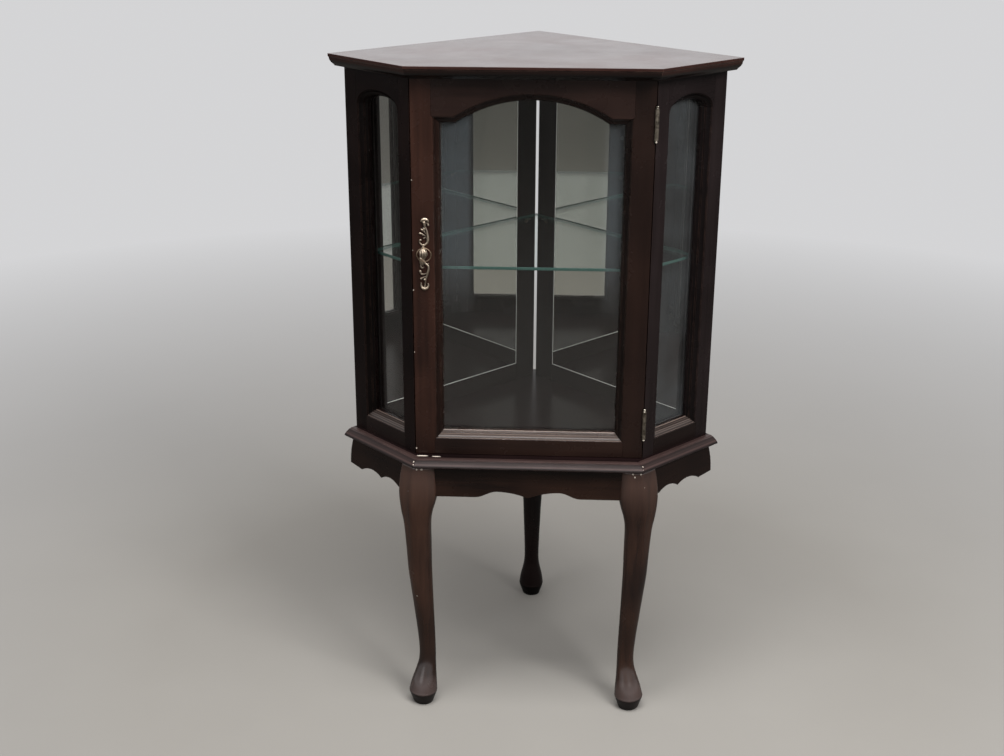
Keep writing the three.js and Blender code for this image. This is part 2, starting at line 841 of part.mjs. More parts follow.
function backLeg() {
  const rings = backLegShares.map(([height, half, outset, squareness]) => legRing(
    0,
    backLegY + kneeWidth * outset,
    kneeWidth * half,
    kneeWidth * half,
    standTop * height,
    squareness,
    Math.PI / 4,
  ));
  return skin(rings, ([x, y]) => [x, y]);
}

addPart('right_front_leg', 'world', 'cherry', rightLeg(0));
addPart('left_front_leg', 'world', 'cherry', mirrored(rightLeg(0)));
addPart('back_leg', 'world', 'cherry', backLeg());

// Front apron: level ends, and two shallow arches that meet in a point at the middle
const apronLow = standTop - apronHeight;
const frontPeakShare = 0.6;
const frontApronHalf = ankleX;
const frontArchReach = frontApronHalf * frontArchReachShare;

function frontApronOutline() {
  const peakX = frontArchReach * frontPeakShare;
  const right = [];
  for (let step = 0; step <= apronArcSteps; step += 1) {
    const share = step / apronArcSteps;
    right.push([peakX * share, apronLow + frontArchRise * (1 - (1 - share) ** 2)]);
  }
  for (let step = 1; step <= apronArcSteps; step += 1) {
    const share = step / apronArcSteps;
    const rise = frontArchRise * (1 + Math.cos(Math.PI * share)) / 2;
    right.push([peakX + (frontArchReach - peakX) * share, apronLow + rise]);
  }
  right.push([frontApronHalf, apronLow], [frontApronHalf, standTop]);
  const left = right.slice(1).map(([x, z]) => [-x, z]).reverse();
  return [...left, ...right];
}

const legCutter = rightLeg(seatGap);
const frontApron = facing(
  frontApronOutline(), casePlan.front - apronPlan.front, casePlan.front - apronPlan.front + apronThickness);
addPart('front_apron', 'front', 'cherry', cut(
  frontApron,
  carried(legCutter, 'world', 'front'),
  carried(mirrored(legCutter), 'world', 'front'),
));

// Side apron: two scallops between the leg and a swelling rear end at the wall
const apronLength = (apronCorners.side[0] - apronCorners.front[0]) * root2;
// Where each scallop starts and ends along the apron, and the drop of its two ends
const scallopShares = [
  { start: 0.27, end: 0.525, startDrop: 0, endDrop: 0 },
  { start: 0.525, end: 0.823, startDrop: 0, endDrop: 0.3 },
];
const rearEndShares = [[1, 0.02], [0.999, 0.15], [0.995, 0.3], [0.985, 0.5], [0.965, 0.75], [0.94, 1]];
const apronStartShare = 0.1;

function sideApronOutline() {
  const points = [[apronLength * apronStartShare, apronLow]];
  for (const { start, end, startDrop, endDrop } of scallopShares) {
    for (let step = 0; step <= apronArcSteps; step += 1) {
      const share = step / apronArcSteps;
      const level = -sideScallopRise * (startDrop + (endDrop - startDrop) * share);
      const rise = sideScallopRise * (1 - (2 * share - 1) ** 2);
      const x = apronLength * (start + (end - start) * share);
      if (step > 0 || start === scallopShares[0].start) points.push([x, apronLow + level + rise]);
    }
  }
  for (const [x, z] of rearEndShares) points.push([apronLength * x, apronLow + apronHeight * z]);
  points.push([apronLength * apronStartShare, standTop]);
  return points;
}

addPair('apron', 'Apron', 'cherry', cut(
  facing(sideApronOutline(), 0, apronThickness),
  carried(legCutter, 'world', 'rightApron'),
));

// Back rails run along the walls from the side aprons to the back leg
const railStart = casePlan.side - apronPlan.side + apronThickness + seatGap;
const backLegHalf = kneeWidth * backLegShares[0][1];
const backLegSetback = (caseCorners.back[1] - backLegY) / root2 + backLegHalf;
const railEnd = backLength - backLegSetback - seatGap;
addPair('back_rail', 'Back', 'interior', box(
  [railStart, 0, standTop - railHeight], [railEnd, apronThickness, standTop]));

// Glue blocks in the angle between the front apron and each front leg
const blockRight = ankleX + kneeWidth * frontLegShares[2][1] - seatGap;
const blockFront = -apronPlan.front + apronThickness + seatGap;
const cornerBlock = box(
  [blockRight - blockSize, blockFront, standTop - blockHeight],
  [blockRight, blockFront + blockSize, standTop],
);
addPart('right_corner_block', 'world', 'interior', cornerBlock);
addPart('left_corner_block', 'world', 'interior', mirrored(cornerBlock));

// Hinges: two leaves with interlocking knuckles on a pin with finials
const knuckleHeight = hingeHeight / knuckleCount;

function knuckleAt(index, height, radius, gap) {
  const low = height - hingeHeight / 2 + index * knuckleHeight;
  return upright(radius, low + gap, low + knuckleHeight - gap, knuckleSides, 0, 0);
}

// The frame's leaf carries the even knuckles, the door's leaf the odd ones
function hingeLeaf(height, side) {
  const near = side * hingeLeafGap;
  const far = side * (hingeLeafGap + hingeLeafThickness);
  const plate = box(
    [Math.min(near, far), 0, height - hingeHeight / 2],
    [Math.max(near, far), hingeLeafWidth, height + hingeHeight / 2],
  );
  const own = [];
  const others = [];
  for (let index = 0; index < knuckleCount; index += 1) {
    const isOwn = (index % 2 === 0) === (side > 0);
    if (isOwn) own.push(knuckleAt(index, height, knuckleRadius, seatGap / 2));
    else others.push(knuckleAt(index, height, knuckleRadius + seatGap, -seatGap / 2));
  }
  const reach = hingeHeight / 2 + cutOverrun;
  const bore = upright(hingePinRadius + seatGap, height - reach, height + reach, knuckleSides, 0, 0);
  return cut(join(plate, ...own), ...others, bore);
}

// Half of the pin's outline: radius and height above the knuckles, as shares of the finial
const finialShares = [[1.1, 0], [0.75, 0.18], [0.95, 0.42], [0.95, 0.62], [0.55, 0.88], [0, 1]];

function hingePin(height) {
  const end = hingeHeight / 2 + seatGap;
  const upper = finialShares.map(([radius, z]) => [finialRadius * radius, end + finialReach * z]);
  const half = [[hingePinRadius, end], ...upper];
  const outline = [...half.map(([radius, z]) => [radius, -z]).reverse(), ...half];
  const geometry = new THREE.LatheGeometry(
    outline.map(([radius, z]) => new THREE.Vector2(radius, z)), knuckleSides);
  geometry.rotateX(Math.PI / 2);
  geometry.translate(0, 0, height);
  return plain(geometry);
}

for (const [level, height] of Object.entries(hingeHeights)) {
  addPart(`${level}_hinge_frame_leaf`, 'hinge', 'brass', hingeLeaf(height, 1));
  addPart(`${level}_hinge_door_leaf`, 'hinge', 'brass', hingeLeaf(height, -1));
  addPart(`${level}_hinge_pin`, 'hinge', 'brass', hingePin(height));
}

// Cast pull: a pierced scroll plate, a bud on a neck and an oval ring round the bud
const scrollShares = [
  [1, -0.3, 0.35], [0.97, -0.75, 0.75], [0.92, -0.8, 0.85], [0.85, -0.4, 0.7], [0.8, -0.25, 1],
  [0.74, -0.2, 0.4], [0.66, -0.75, 0.55], [0.55, -1, 0.75], [0.42, -1, 0.85], [0.32, -0.85, 0.75],
  [0.24, -0.4, 0.45], [0.12, -0.55, 0.55], [-0.12, -0.55, 0.55], [-0.24, -0.6, 0.6],
  [-0.36, -0.7, 0.95], [-0.5, -1, 0.8], [-0.64, -0.9, 0.5], [-0.76, -0.5, 0.35],
  [-0.85, -0.75, 0.95], [-0.94, -0.7, 0.9], [-1, -0.2, 0.35],
];

function pullScroll() {
  const left = scrollShares.map(([height, x]) => [x, height]);
  const right = scrollShares.map(([height, , x]) => [x, height]).reverse();
  const outline = [...left, ...right].map(
    ([x, height]) => [pullX + pullHalfWidth * x, pullZ + pullHeight / 2 * height]);
  return facing(outline, -seatGap - pullThickness, -seatGap);
}

function pullBud() {
  const egg = new THREE.SphereGeometry(1, budSides, budRings);
  egg.scale(budRadius, budRadius, budHeight / 2);
  egg.translate(pullX, -seatGap - pullThickness - budStandoff, pullZ);
  const neck = crosswise(
    budNeckRadius, -seatGap - pullThickness - budStandoff, -2 * seatGap - pullThickness,
    knuckleSides, pullX, pullZ);
  return join(plain(egg), neck);
}

function ellipse(halfWidth, halfHeight) {
  const points = [];
  for (let side = 0; side < legSides; side += 1) {
    const angle = 2 * Math.PI * side / legSides;
    points.push([pullX + halfWidth * Math.cos(angle), pullZ + halfHeight * Math.sin(angle)]);
  }
  return points;
}

const ringBack = -2 * seatGap - pullThickness;
addPart('pull_scroll_plate', 'front', 'brass', pullScroll());
addPart('pull_bud', 'front', 'brass', pullBud());
addPart('pull_ring', 'front', 'brass', facing(
  ellipse(ringWidth / 2, ringHeight / 2), ringBack - ringBar, ringBack,
  ellipse(ringWidth / 2 - ringBar, ringHeight / 2 - ringBar)));
pullScrewHeights.forEach((height, index) => {
  const shank = crosswise(
    pullScrewRadius, 0, frameThickness + seatGap + pullScrewHead / 2, knuckleSides, pullX, height);
  const head = crosswise(
    pullScrewHeadRadius, frameThickness + seatGap, frameThickness + seatGap + pullScrewHead,
    knuckleSides, pullX, height);
  addPart(`${['lower', 'upper'][index]}_pull_screw`, 'front', 'steel', join(shank, head));
});

export default cabinet;
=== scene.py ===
import json
import math

import bmesh
import bpy
from mathutils import Matrix, Vector
from mathutils.bvhtree import BVHTree

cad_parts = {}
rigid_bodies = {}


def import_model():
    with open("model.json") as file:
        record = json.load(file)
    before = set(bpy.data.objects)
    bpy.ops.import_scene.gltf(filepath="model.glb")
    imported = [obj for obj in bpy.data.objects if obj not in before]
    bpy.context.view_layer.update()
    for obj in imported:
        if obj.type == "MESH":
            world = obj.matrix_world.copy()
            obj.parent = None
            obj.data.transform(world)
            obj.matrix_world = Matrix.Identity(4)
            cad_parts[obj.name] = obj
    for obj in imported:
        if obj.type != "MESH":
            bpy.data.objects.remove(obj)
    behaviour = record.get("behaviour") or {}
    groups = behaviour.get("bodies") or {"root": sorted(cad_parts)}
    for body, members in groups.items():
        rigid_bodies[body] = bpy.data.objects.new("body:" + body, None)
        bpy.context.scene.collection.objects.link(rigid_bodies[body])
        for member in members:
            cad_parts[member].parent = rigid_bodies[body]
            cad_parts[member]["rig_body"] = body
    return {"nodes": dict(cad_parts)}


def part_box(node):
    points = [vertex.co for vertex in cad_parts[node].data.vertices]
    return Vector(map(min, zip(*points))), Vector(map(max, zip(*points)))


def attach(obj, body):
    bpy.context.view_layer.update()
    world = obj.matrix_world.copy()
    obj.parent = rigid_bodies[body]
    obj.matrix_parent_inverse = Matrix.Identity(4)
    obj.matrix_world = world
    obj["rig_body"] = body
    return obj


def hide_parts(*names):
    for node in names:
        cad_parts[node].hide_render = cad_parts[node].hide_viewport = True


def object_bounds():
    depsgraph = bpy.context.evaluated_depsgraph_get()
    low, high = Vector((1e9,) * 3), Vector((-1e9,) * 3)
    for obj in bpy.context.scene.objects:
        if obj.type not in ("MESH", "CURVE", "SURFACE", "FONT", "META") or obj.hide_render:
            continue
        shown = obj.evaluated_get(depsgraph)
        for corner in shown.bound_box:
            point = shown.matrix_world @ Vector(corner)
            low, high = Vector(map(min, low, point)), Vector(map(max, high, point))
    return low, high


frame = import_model()
nodes = frame["nodes"]
body_of_node = {name: nodes[name]["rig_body"] for name in nodes}
cad_low, cad_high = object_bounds()
case_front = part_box("door_pull_stile")[0][1]
stand_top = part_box("front_waist_moulding")[0][2]
waist_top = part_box("front_waist_moulding")[1][2]
sill_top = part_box("door_bottom_rail")[1][2]

MM = 0.001
SIDE_TURN = math.radians(45)


def placed(name, data):
    """A new object of the scene, round that mesh, lamp or camera."""
    piece = bpy.data.objects.new(name, data)
    bpy.context.scene.collection.objects.link(piece)
    return piece


def circle(sides):
    """Cosine and sine at even steps once round."""
    angles = [2 * math.pi * side / sides for side in range(sides)]
    return [(math.cos(angle), math.sin(angle)) for angle in angles]


# Camera: solved from the cabinet's vertical edges and its 45 degree plan in the photograph
PHOTO_WIDTH = 1004
FOCAL_PIXELS = 1396.27
SENSOR = 36
CAMERA_PLACE = Vector((0.0496, -2.2881, 1.3878))
YAW = math.radians(2.554)
PITCH = math.radians(20.572)
ROLL = math.radians(-0.2495)

forward = Vector((-math.sin(YAW) * math.cos(PITCH), math.cos(YAW) * math.cos(PITCH), -math.sin(PITCH)))
level_right = Vector((math.cos(YAW), math.sin(YAW), 0))
level_down = forward.cross(level_right)
right = level_right * math.cos(ROLL) + level_down * math.sin(ROLL)
down = level_down * math.cos(ROLL) - level_right * math.sin(ROLL)

camera_data = bpy.data.cameras.new("camera")
camera_data.sensor_width = SENSOR
camera_data.lens = SENSOR * FOCAL_PIXELS / PHOTO_WIDTH
camera = placed("camera", camera_data)
camera.rotation_mode = "QUATERNION"
camera.rotation_quaternion = Matrix((right, -down, -forward)).transposed().to_quaternion()
camera.location = CAMERA_PLACE
bpy.context.scene.camera = camera


# Node helpers: a Mix node's colour sockets, and how many stops a new colour ramp has
MIX_COLOURS = (6, 7)
MIX_RESULT = 2
NEW_RAMP_STOPS = 2
# Where nearly all values of a noise lie
NOISE_SPREAD = (0.3, 0.7)


class Shader:
    """A small writer for the nodes of one material, or of the world."""

    def __init__(self, name, world=False):
        self.material = bpy.data.worlds.new(name) if world else bpy.data.materials.new(name)
        self.material.use_nodes = True
        self.tree = self.material.node_tree
        self.tree.nodes.clear()
        self.output = self.add("ShaderNodeOutputWorld" if world else "ShaderNodeOutputMaterial")

    def add(self, kind, **settings):
        node = self.tree.nodes.new(kind)
        for key, value in settings.items():
            setattr(node, key, value)
        return node

    def put(self, socket, value):
        """Links an output to the socket, or sets the socket's own value."""
        if isinstance(value, bpy.types.NodeSocket):
            self.tree.links.new(value, socket)
        else:
            socket.default_value = value

    def fill(self, node, values):
        """Gives the node's first inputs these values, in order."""
        for socket, value in zip(node.inputs, values):
            self.put(socket, value)
        return node

    def surface(self, socket):
        self.put(self.output.inputs["Surface"], socket)

    def principled(self, **values):
        node = self.add("ShaderNodeBsdfPrincipled")
        for key, value in values.items():
            self.put(node.inputs[key.replace("_", " ").title().replace("Ior", "IOR")], value)
        self.surface(node.outputs["BSDF"])
        return node.outputs["BSDF"]

    def blend(self, share, first, second):
        """Makes the surface a mix of two shaders."""
        self.surface(self.fill(self.add("ShaderNodeMixShader"), (share, first, second)).outputs[0])

    def place(self, turn=0.0, scale=(1, 1, 1)):
        """Object coordinates turned about z, then stretched."""
        turned = self.add("ShaderNodeVectorRotate", rotation_type="Z_AXIS")
        self.put(turned.inputs["Vector"], self.add("ShaderNodeTexCoord").outputs["Object"])
        self.put(turned.inputs["Angle"], turn)
        return self.vector_math("MULTIPLY", turned.outputs[0], scale)

    def noise(self, vector, scale, detail=3.0, roughness=0.5, distortion=0.0, output="Fac"):
        node = self.add("ShaderNodeTexNoise")
        self.put(node.inputs["Vector"], vector)
        self.put(node.inputs["Scale"], scale)
        self.put(node.inputs["Detail"], detail)
        self.put(node.inputs["Roughness"], roughness)
        self.put(node.inputs["Distortion"], distortion)
        return node.outputs[output]

    def ranged(self, value, low, high, out_low=0.0, out_high=1.0):
        node = self.add("ShaderNodeMapRange")
        return self.fill(node, (value, low, high, out_low, out_high)).outputs["Result"]

    def wavering(self, noise, level, less, more):
        """A level that follows the noise, from less below it to more above it."""
        return self.ranged(noise, *NOISE_SPREAD, level - less, level + more)

    def math(self, operation, *values):
        return self.fill(self.add("ShaderNodeMath", operation=operation), values).outputs[0]

    def vector_math(self, operation, *values, output="Vector"):
        node = self.add("ShaderNodeVectorMath", operation=operation)
        return self.fill(node, values).outputs[output]

    def weighted(self, first, *others):
        """The sum of values, each given with its weight."""
        total = self.math("MULTIPLY", *first)
        for pair in others:
            total = self.math("ADD", total, self.math("MULTIPLY", *pair))
        return total

    def mix(self, share, *colours):
        node = self.add("ShaderNodeMix", data_type="RGBA")
        self.put(node.inputs["Factor"], share)
        for index, colour in zip(MIX_COLOURS, colours):
            self.put(node.inputs[index], colour)
        return node.outputs[MIX_RESULT]

    def ramp(self, value, stops):
        """Grey levels at given shares of the value, with straight steps between them."""
        node = self.add("ShaderNodeValToRGB")
        self.put(node.inputs["Fac"], value)
        elements = node.color_ramp.elements
        for index, (share, level) in enumerate(stops):
            element = elements[index] if index < NEW_RAMP_STOPS else elements.new(share)
            element.position = share
            element.color = (level, level, level, 1)
        return node.outputs["Color"]

    def bump(self, height, strength, distance):
        node = self.add("ShaderNodeBump")
        self.put(node.inputs["Strength"], strength)
        self.put(node.inputs["Distance"], distance)
        self.put(node.inputs["Height"], height)
        return node.outputs["Normal"]

    def attribute(self, name):
        return self.add("ShaderNodeAttribute", attribute_name=name).outputs["Fac"]

    def separate(self, vector):
        return self.fill(self.add("ShaderNodeSeparateXYZ"), (vector,)).outputs


def srgb(red, green, blue):
    """A colour given as 0-255 values, in the renderer's linear values."""
    def linear(value):
        share = value / 255
        return share / 12.92 if share <= 0.04045 else ((share + 0.055) / 1.055) ** 2.4
    return (linear(red), linear(green), linear(blue), 1.0)


BLACK = (0, 0, 0, 1)
WHITE = (1, 1, 1, 1)
BARE = srgb(208, 196, 182)
RUBBED = srgb(92, 68, 58)

# Wood: how far each grain turns from x and stretches, the noises in it, and what each adds to the tone
SIDES = ("right", "left")
ALONG = {
    "up": (0.0, (1, 1, 0.06)),
    "across": (0.0, (0.06, 1, 1)),
    "right": (-SIDE_TURN, (0.06, 1, 1)),
    "left": (SIDE_TURN, (0.06, 1, 1)),
}
STREAKS = {"scale": 120, "detail": 6, "roughness": 0.62}
BANDS = {"scale": 26, "detail": 3, "distortion": 0.4}
CLOUDS = {"scale": 7, "detail": 2}
PORES = {"scale": 420, "detail": 2}
RUBS = {"scale": 60, "detail": 5, "roughness": 0.7}
SMEARS = {"scale": 14, "detail": 4, "roughness": 0.6}
STREAK_WEIGHT = 0.35
BAND_WEIGHT = 0.45
CLOUD_WEIGHT = 0.6
TONE_SPREAD = (0.52, 0.92)
RUB_SPREAD = (0.36, 0.62)
PORE_STRETCH = 3
# How much recessed moulding faces are darkened toward black: painted shade
INSET_SHADE = 0.6

# Moulding lines, painted highlight and shade that is partly wear: height of the foot, width, and
# brightness from the foot up as shares
WINDOW_HIGHLIGHT_AND_WEAR_LINES = (
    (0.0, 1.0), (0.1, 0.9), (0.14, 0.1), (0.28, 0.2), (0.34, 0.7), (0.4, 0.15), (0.5, 0.3), (0.56, 0.9),
    (0.62, 0.15), (0.74, 0.2), (0.8, 0.6), (0.84, 0.1), (0.9, 0.2), (0.93, 1.0), (1.0, 1.0),
)
WAIST_HIGHLIGHT_AND_WEAR_LINES = (
    (0.0, 0.0), (0.34, 0.02), (0.4, 0.35), (0.48, 1.0), (0.56, 0.9), (0.62, 0.3), (0.7, 0.42), (0.78, 0.2),
    (0.88, 0.12), (0.95, 0.75),
)
WINDOW_RUN = 11.5 * MM
WINDOW_MOULDING = (sill_top - WINDOW_RUN, WINDOW_RUN, WINDOW_HIGHLIGHT_AND_WEAR_LINES)
WAIST_MOULDING = (stand_top, waist_top - stand_top, WAIST_HIGHLIGHT_AND_WEAR_LINES)
# The painted lines break up where the streaks are dark: from and to which streak, and the least that is
# left
LINE_BREAKS = (0.35, 0.6, 0.6, 1)


def wood(name, grain, dark, light, gloss=0.25, roughness=0.26, wear=0.2, rubbed=RUBBED,
         chips=(), squash=(1, 1, 1), shades=(), lined=None, line_tones=None):
    """Toned cherry: streaks along the grain, rubbed arrises, chips, painted shade on recessed moulding
    faces when it has no lines, and tones by height with painted shade and sheen among them.
    Painted highlight and shade lines, partly wear, show on its mouldings in line_tones, or all over it in
    its own tones without these."""
    shader = Shader(name)
    turn, stretch = ALONG[grain]
    along = shader.place(turn, stretch)
    height = shader.separate(shader.place())[2]
    streaks = shader.noise(along, **STREAKS)
    bands = shader.noise(along, **BANDS)
    clouds = shader.noise(shader.place(), **CLOUDS)
    pores = shader.noise(shader.place(turn, tuple(PORE_STRETCH * part for part in stretch)), **PORES)
    tone = shader.weighted((streaks, STREAK_WEIGHT), (bands, BAND_WEIGHT), (clouds, CLOUD_WEIGHT))
    colour = shader.mix(shader.ranged(tone, *TONE_SPREAD), dark, light)
    inset = shader.attribute("inset")
    if lined is None:
        # Recessed moulding faces darkened toward black: painted shade
        colour = shader.mix(shader.math("MULTIPLY", inset, INSET_SHADE), colour, BLACK)
    else:
        foot, width, stops = lined
        # Painted highlight and shade lines up the moulding by height, partly wear
        lines = shader.ramp(shader.ranged(height, foot, foot + width), stops)
        lines = shader.math("MULTIPLY", lines, shader.ranged(streaks, *LINE_BREAKS))
        if line_tones:
            colour = shader.mix(inset, colour, shader.mix(lines, *line_tones))
        else:
            colour = shader.mix(lines, dark, light)
    patchy = shader.ranged(shader.noise(shader.place(), **RUBS), *RUB_SPREAD)
    share = shader.math("MULTIPLY", shader.math("MULTIPLY", shader.attribute("wear"), patchy), wear)
    colour = shader.mix(share, colour, rubbed)
    # Tones by height, painted shade and painted sheen among them
    for start, end, strength, shade in shades:
        colour = shader.mix(shader.ranged(height, start, end, 0, strength), colour, shade)
    for x, y, z, radius in chips:
        spot = chip(shader, Vector((x, y, z)) * MM, radius * MM, squash)
        colour = shader.mix(spot, colour, BARE)
    shader.principled(
        base_color=colour,
        roughness=shader.wavering(shader.noise(shader.place(), **SMEARS), roughness, 0.03, 0.04),
        specular_ior_level=gloss,
        normal=shader.bump(shader.math("ADD", pores, streaks), strength=0.1, distance=0.06 * MM),
    )
    return shader.material


CHIP_GRAIN = {"scale": 900, "detail": 2}
CHIP_RAGGEDNESS = 1.6
CHIP_CORE = 0.8


def chip(shader, place, radius, squash):
    """1 inside a ragged spot of that radius round a point, 0 outside it; squash lengthens an axis."""
    ragged = shader.noise(shader.place(), **CHIP_GRAIN, output="Color")
    push = radius * CHIP_RAGGEDNESS
    moved = shader.vector_math("MULTIPLY_ADD", ragged, (push,) * 3, shader.place())
    offset = shader.vector_math("SUBTRACT", moved, place + Vector((push / 2,) * 3))
    squashed = shader.vector_math("MULTIPLY", offset, squash)
    reach = shader.vector_math("LENGTH", squashed, output="Value")
    return shader.ranged(reach, radius, radius * CHIP_CORE)


# Bare spots in millimetres of the CAD frame: place and radius
DOOR_CHIPS = ((-184.6, -187.4, 919.6, 1.2), (-185.0, -187.0, 808.5, 1.1), (-184.6, -187.5, 743.8, 1.3),
              (-184.3, -187.5, 472.7, 1.4), (-184.7, -187.2, 640.0, 1.0))
BASE_CHIPS = ((-174.0, -196.4, 463.0, 2.6), (-150.5, -198.0, 463.0, 2.0))
WAIST_CHIPS = ((-186.5, -214.5, 460.2, 1.6), (-186.8, -220.0, 457.5, 1.3), (186.2, -214.6, 459.8, 1.2),
               (187.0, -221.0, 457.0, 1.0))
LEFT_LEG_CHIPS = ((-181.6, -218.1, 448.0, 1.8), (-173.4, -218.0, 448.2, 2.0), (-186.5, -203.4, 205.4, 1.0),
                  (-187.1, -201.0, 186.6, 0.9))
RIGHT_LEG_CHIPS = ((170.3, -218.0, 448.0, 1.8), (173.7, -218.6, 442.7, 1.5), (183.2, -218.0, 448.0, 1.6),
                   (190.5, -220.2, 425.2, 1.0))

# Tones by height, painted shade and painted sheen among them: where each starts, where it is full, how
# strong it is, and its colour
SOLE_TOP = 21.8 * MM
# Painted shade on the sole, under the pad's rim
PAINTED_SOLE_SHADE = (SOLE_TOP, SOLE_TOP - 1.5 * MM, 0.85, BLACK)
# Painted sheen on the top of the foot
PAINTED_FOOT_SHEEN = (54 * MM, 36 * MM, 0.3, srgb(120, 104, 101))
ANKLE = (230 * MM, 150 * MM, 0.45, BLACK)
# Painted sheen on the top of the knee
PAINTED_KNEE_SHEEN = (370 * MM, 425 * MM, 0.22, srgb(112, 90, 82))
# Painted shadow of the waist moulding on the apron's top
APRON_SHADE = (stand_top - 27 * MM, stand_top - 17 * MM, 0.55, BLACK)
PULL_STILE_SHADE = (stand_top + 109 * MM, stand_top + 19 * MM, 0.4, BLACK)
# Painted shade on the top board's lower edge, under its overhang
TOP_EDGE_SHADE = (cad_high.z - 9 * MM, cad_high.z - 12 * MM, 0.8, BLACK)

# Darkest and lightest tone of each wood, and of the painted highlight and shade lines on the window
# mouldings. The left side's darker tones, and the side apron, sill and line tones darker than the front's,
# are painted shade; the right side's greyer tones are painted sheen.
TONES = {
    # Left side: darker as painted shade
    "left_side": (srgb(13, 8, 8), srgb(28, 17, 15)),
    # Right side: greyer as painted sheen
    "right_side": (srgb(24, 18, 18), srgb(42, 34, 34)),
    "back": (srgb(16, 11, 10), srgb(28, 19, 17)),
    "back_panel": (srgb(34, 24, 20), srgb(60, 43, 35)),
    "hinge_stile": (srgb(22, 14, 12), srgb(40, 26, 21)),
    "pull_stile": (srgb(30, 18, 15), srgb(68, 43, 34)),
    "top_rail": (srgb(27, 18, 16), srgb(52, 36, 31)),
    "base": (srgb(17, 10, 10), srgb(31, 19, 19)),
    "front_apron": (srgb(26, 16, 13), srgb(62, 41, 31)),
    # Darker than the front apron: painted shade
    "side_apron": (srgb(20, 13, 12), srgb(40, 26, 21)),
    "front_sill": (srgb(24, 15, 13), srgb(48, 32, 26)),
    # Darker than the front sill: painted shade
    "side_sill": (srgb(16, 10, 9), srgb(34, 22, 19)),
    "front_lines": (srgb(30, 22, 20), srgb(132, 114, 104)),
    # Darker than the front lines: painted shade
    "side_lines": (srgb(18, 12, 11), srgb(118, 102, 94)),
    "waist": (srgb(20, 13, 12), srgb(72, 55, 52)),
    "leg": (srgb(28, 16, 13), srgb(76, 50, 38)),
    "top": (srgb(40, 21, 18), srgb(58, 32, 26)),
}
BACK = {"gloss": 0.1, "roughness": 0.5, "wear": 0.1}
WAIST = {"gloss": 0.12, "roughness": 0.34, "wear": 0.3, "rubbed": srgb(104, 84, 80)}
LEG = {"gloss": 0.5, "roughness": 0.24, "shades": (ANKLE, PAINTED_KNEE_SHEEN, PAINTED_FOOT_SHEEN, PAINTED_SOLE_SHADE)}
TOP = {"gloss": 0.45, "roughness": 0.2, "wear": 0.5, "rubbed": srgb(104, 78, 68)}

# Side woods: painted shade on the left, painted sheen on the right
side_woods = {
    side: {grain: wood(f"{side}_{grain}_wood", grain, *TONES[f"{side}_side"], gloss=0.15)
           for grain in ("up", side)}
    for side in SIDES
}
# Side aprons in darker tones as painted shade
side_apron_woods = {
    side: wood(f"{side}_apron", side, *TONES["side_apron"], gloss=0.2) for side in SIDES
}
backs = {grain: wood(f"back_{grain}", grain, *TONES["back"], **BACK) for grain in ALONG}
# The waist moulding's colour is all painted highlight and shade lines by height, partly wear
waist_woods = {
    grain: wood(f"waist_{grain}", grain, *TONES["waist"], chips=WAIST_CHIPS, lined=WAIST_MOULDING, **WAIST)
    for grain in ("across", *SIDES)
}
# Sill woods: painted highlight and shade lines, partly wear, on their mouldings
sill_highlight_and_wear_woods = {
    grain: wood(f"highlight_and_wear_{grain}", grain, *TONES[f"{part}_sill"],
                lined=WINDOW_MOULDING, line_tones=TONES[f"{part}_lines"])
    for grain, part in (("across", "front"), ("right", "side"), ("left", "side"))
}
back_panel_wood = wood("back_panel", "up", *TONES["back_panel"], gloss=0.15, roughness=0.5, wear=0)
hinge_stile_wood = wood("hinge_stile", "up", *TONES["hinge_stile"])
pull_stile_wood = wood(
    "pull_stile", "up", *TONES["pull_stile"], chips=DOOR_CHIPS, shades=(PULL_STILE_SHADE,))
top_rail_wood = wood("top_rail", "across", *TONES["top_rail"])
base_wood = wood(
    "base", "across", *TONES["base"], gloss=0.06, roughness=0.22, chips=BASE_CHIPS, squash=(0.25, 1, 1))
front_apron_wood = wood("front_apron", "across", *TONES["front_apron"], shades=(APRON_SHADE,))
left_leg_wood = wood("left_leg", "up", *TONES["leg"], chips=LEFT_LEG_CHIPS, **LEG)
right_leg_wood = wood("right_leg", "up", *TONES["leg"], chips=RIGHT_LEG_CHIPS, **LEG)
# The back leg takes the left side's painted-shade tones
back_leg_wood = wood("back_leg", "up", *TONES["left_side"], shades=(PAINTED_SOLE_SHADE,))
top_wood = wood("top", "across", *TONES["top"], shades=(TOP_EDGE_SHADE,), **TOP)


# Glass, mirror and metal
GLANCE_POWER = 5
HEAD_ON_MIRROR = 0.04
PANE_STREAKS = {"scale": 9, "detail": 5, "roughness": 0.65}
# Painted reflection on the panes: a blue-grey veil of mirrored light, its share and metallic
PAINTED_REFLECTION = srgb(196, 208, 214)
PAINTED_REFLECTION_SHARE = 0.056
PAINTED_REFLECTION_METALLIC = 0.35
# Across the door's pane, the painted reflection starts and is full at these places, and up it at these
# heights
PAINTED_REFLECTION_ENDS = ((-88 * MM, -100 * MM), (108 * MM, 120 * MM))
PAINTED_REFLECTION_FOOT = (stand_top + 239 * MM, stand_top + 349 * MM)
DOOR_CLOUDS = {"scale": 16, "detail": 4, "roughness": 0.6}
DOOR_PAINTED_REFLECTION_SPREAD = (0.75, 1.0)
SIDE_CLOUDS = {"scale": 9, "detail": 3, "roughness": 0.6, "distortion": 0.5}
SIDE_PAINTED_REFLECTION_SPREAD = (0.2, 0.75)


def glance(shader):
    """0 seen straight on, rising steeply to 1 at a glancing angle."""
    facing = shader.add("ShaderNodeLayerWeight")
    shader.put(facing.inputs["Blend"], 0.5)
    return shader.math("POWER", facing.outputs["Facing"], GLANCE_POWER)


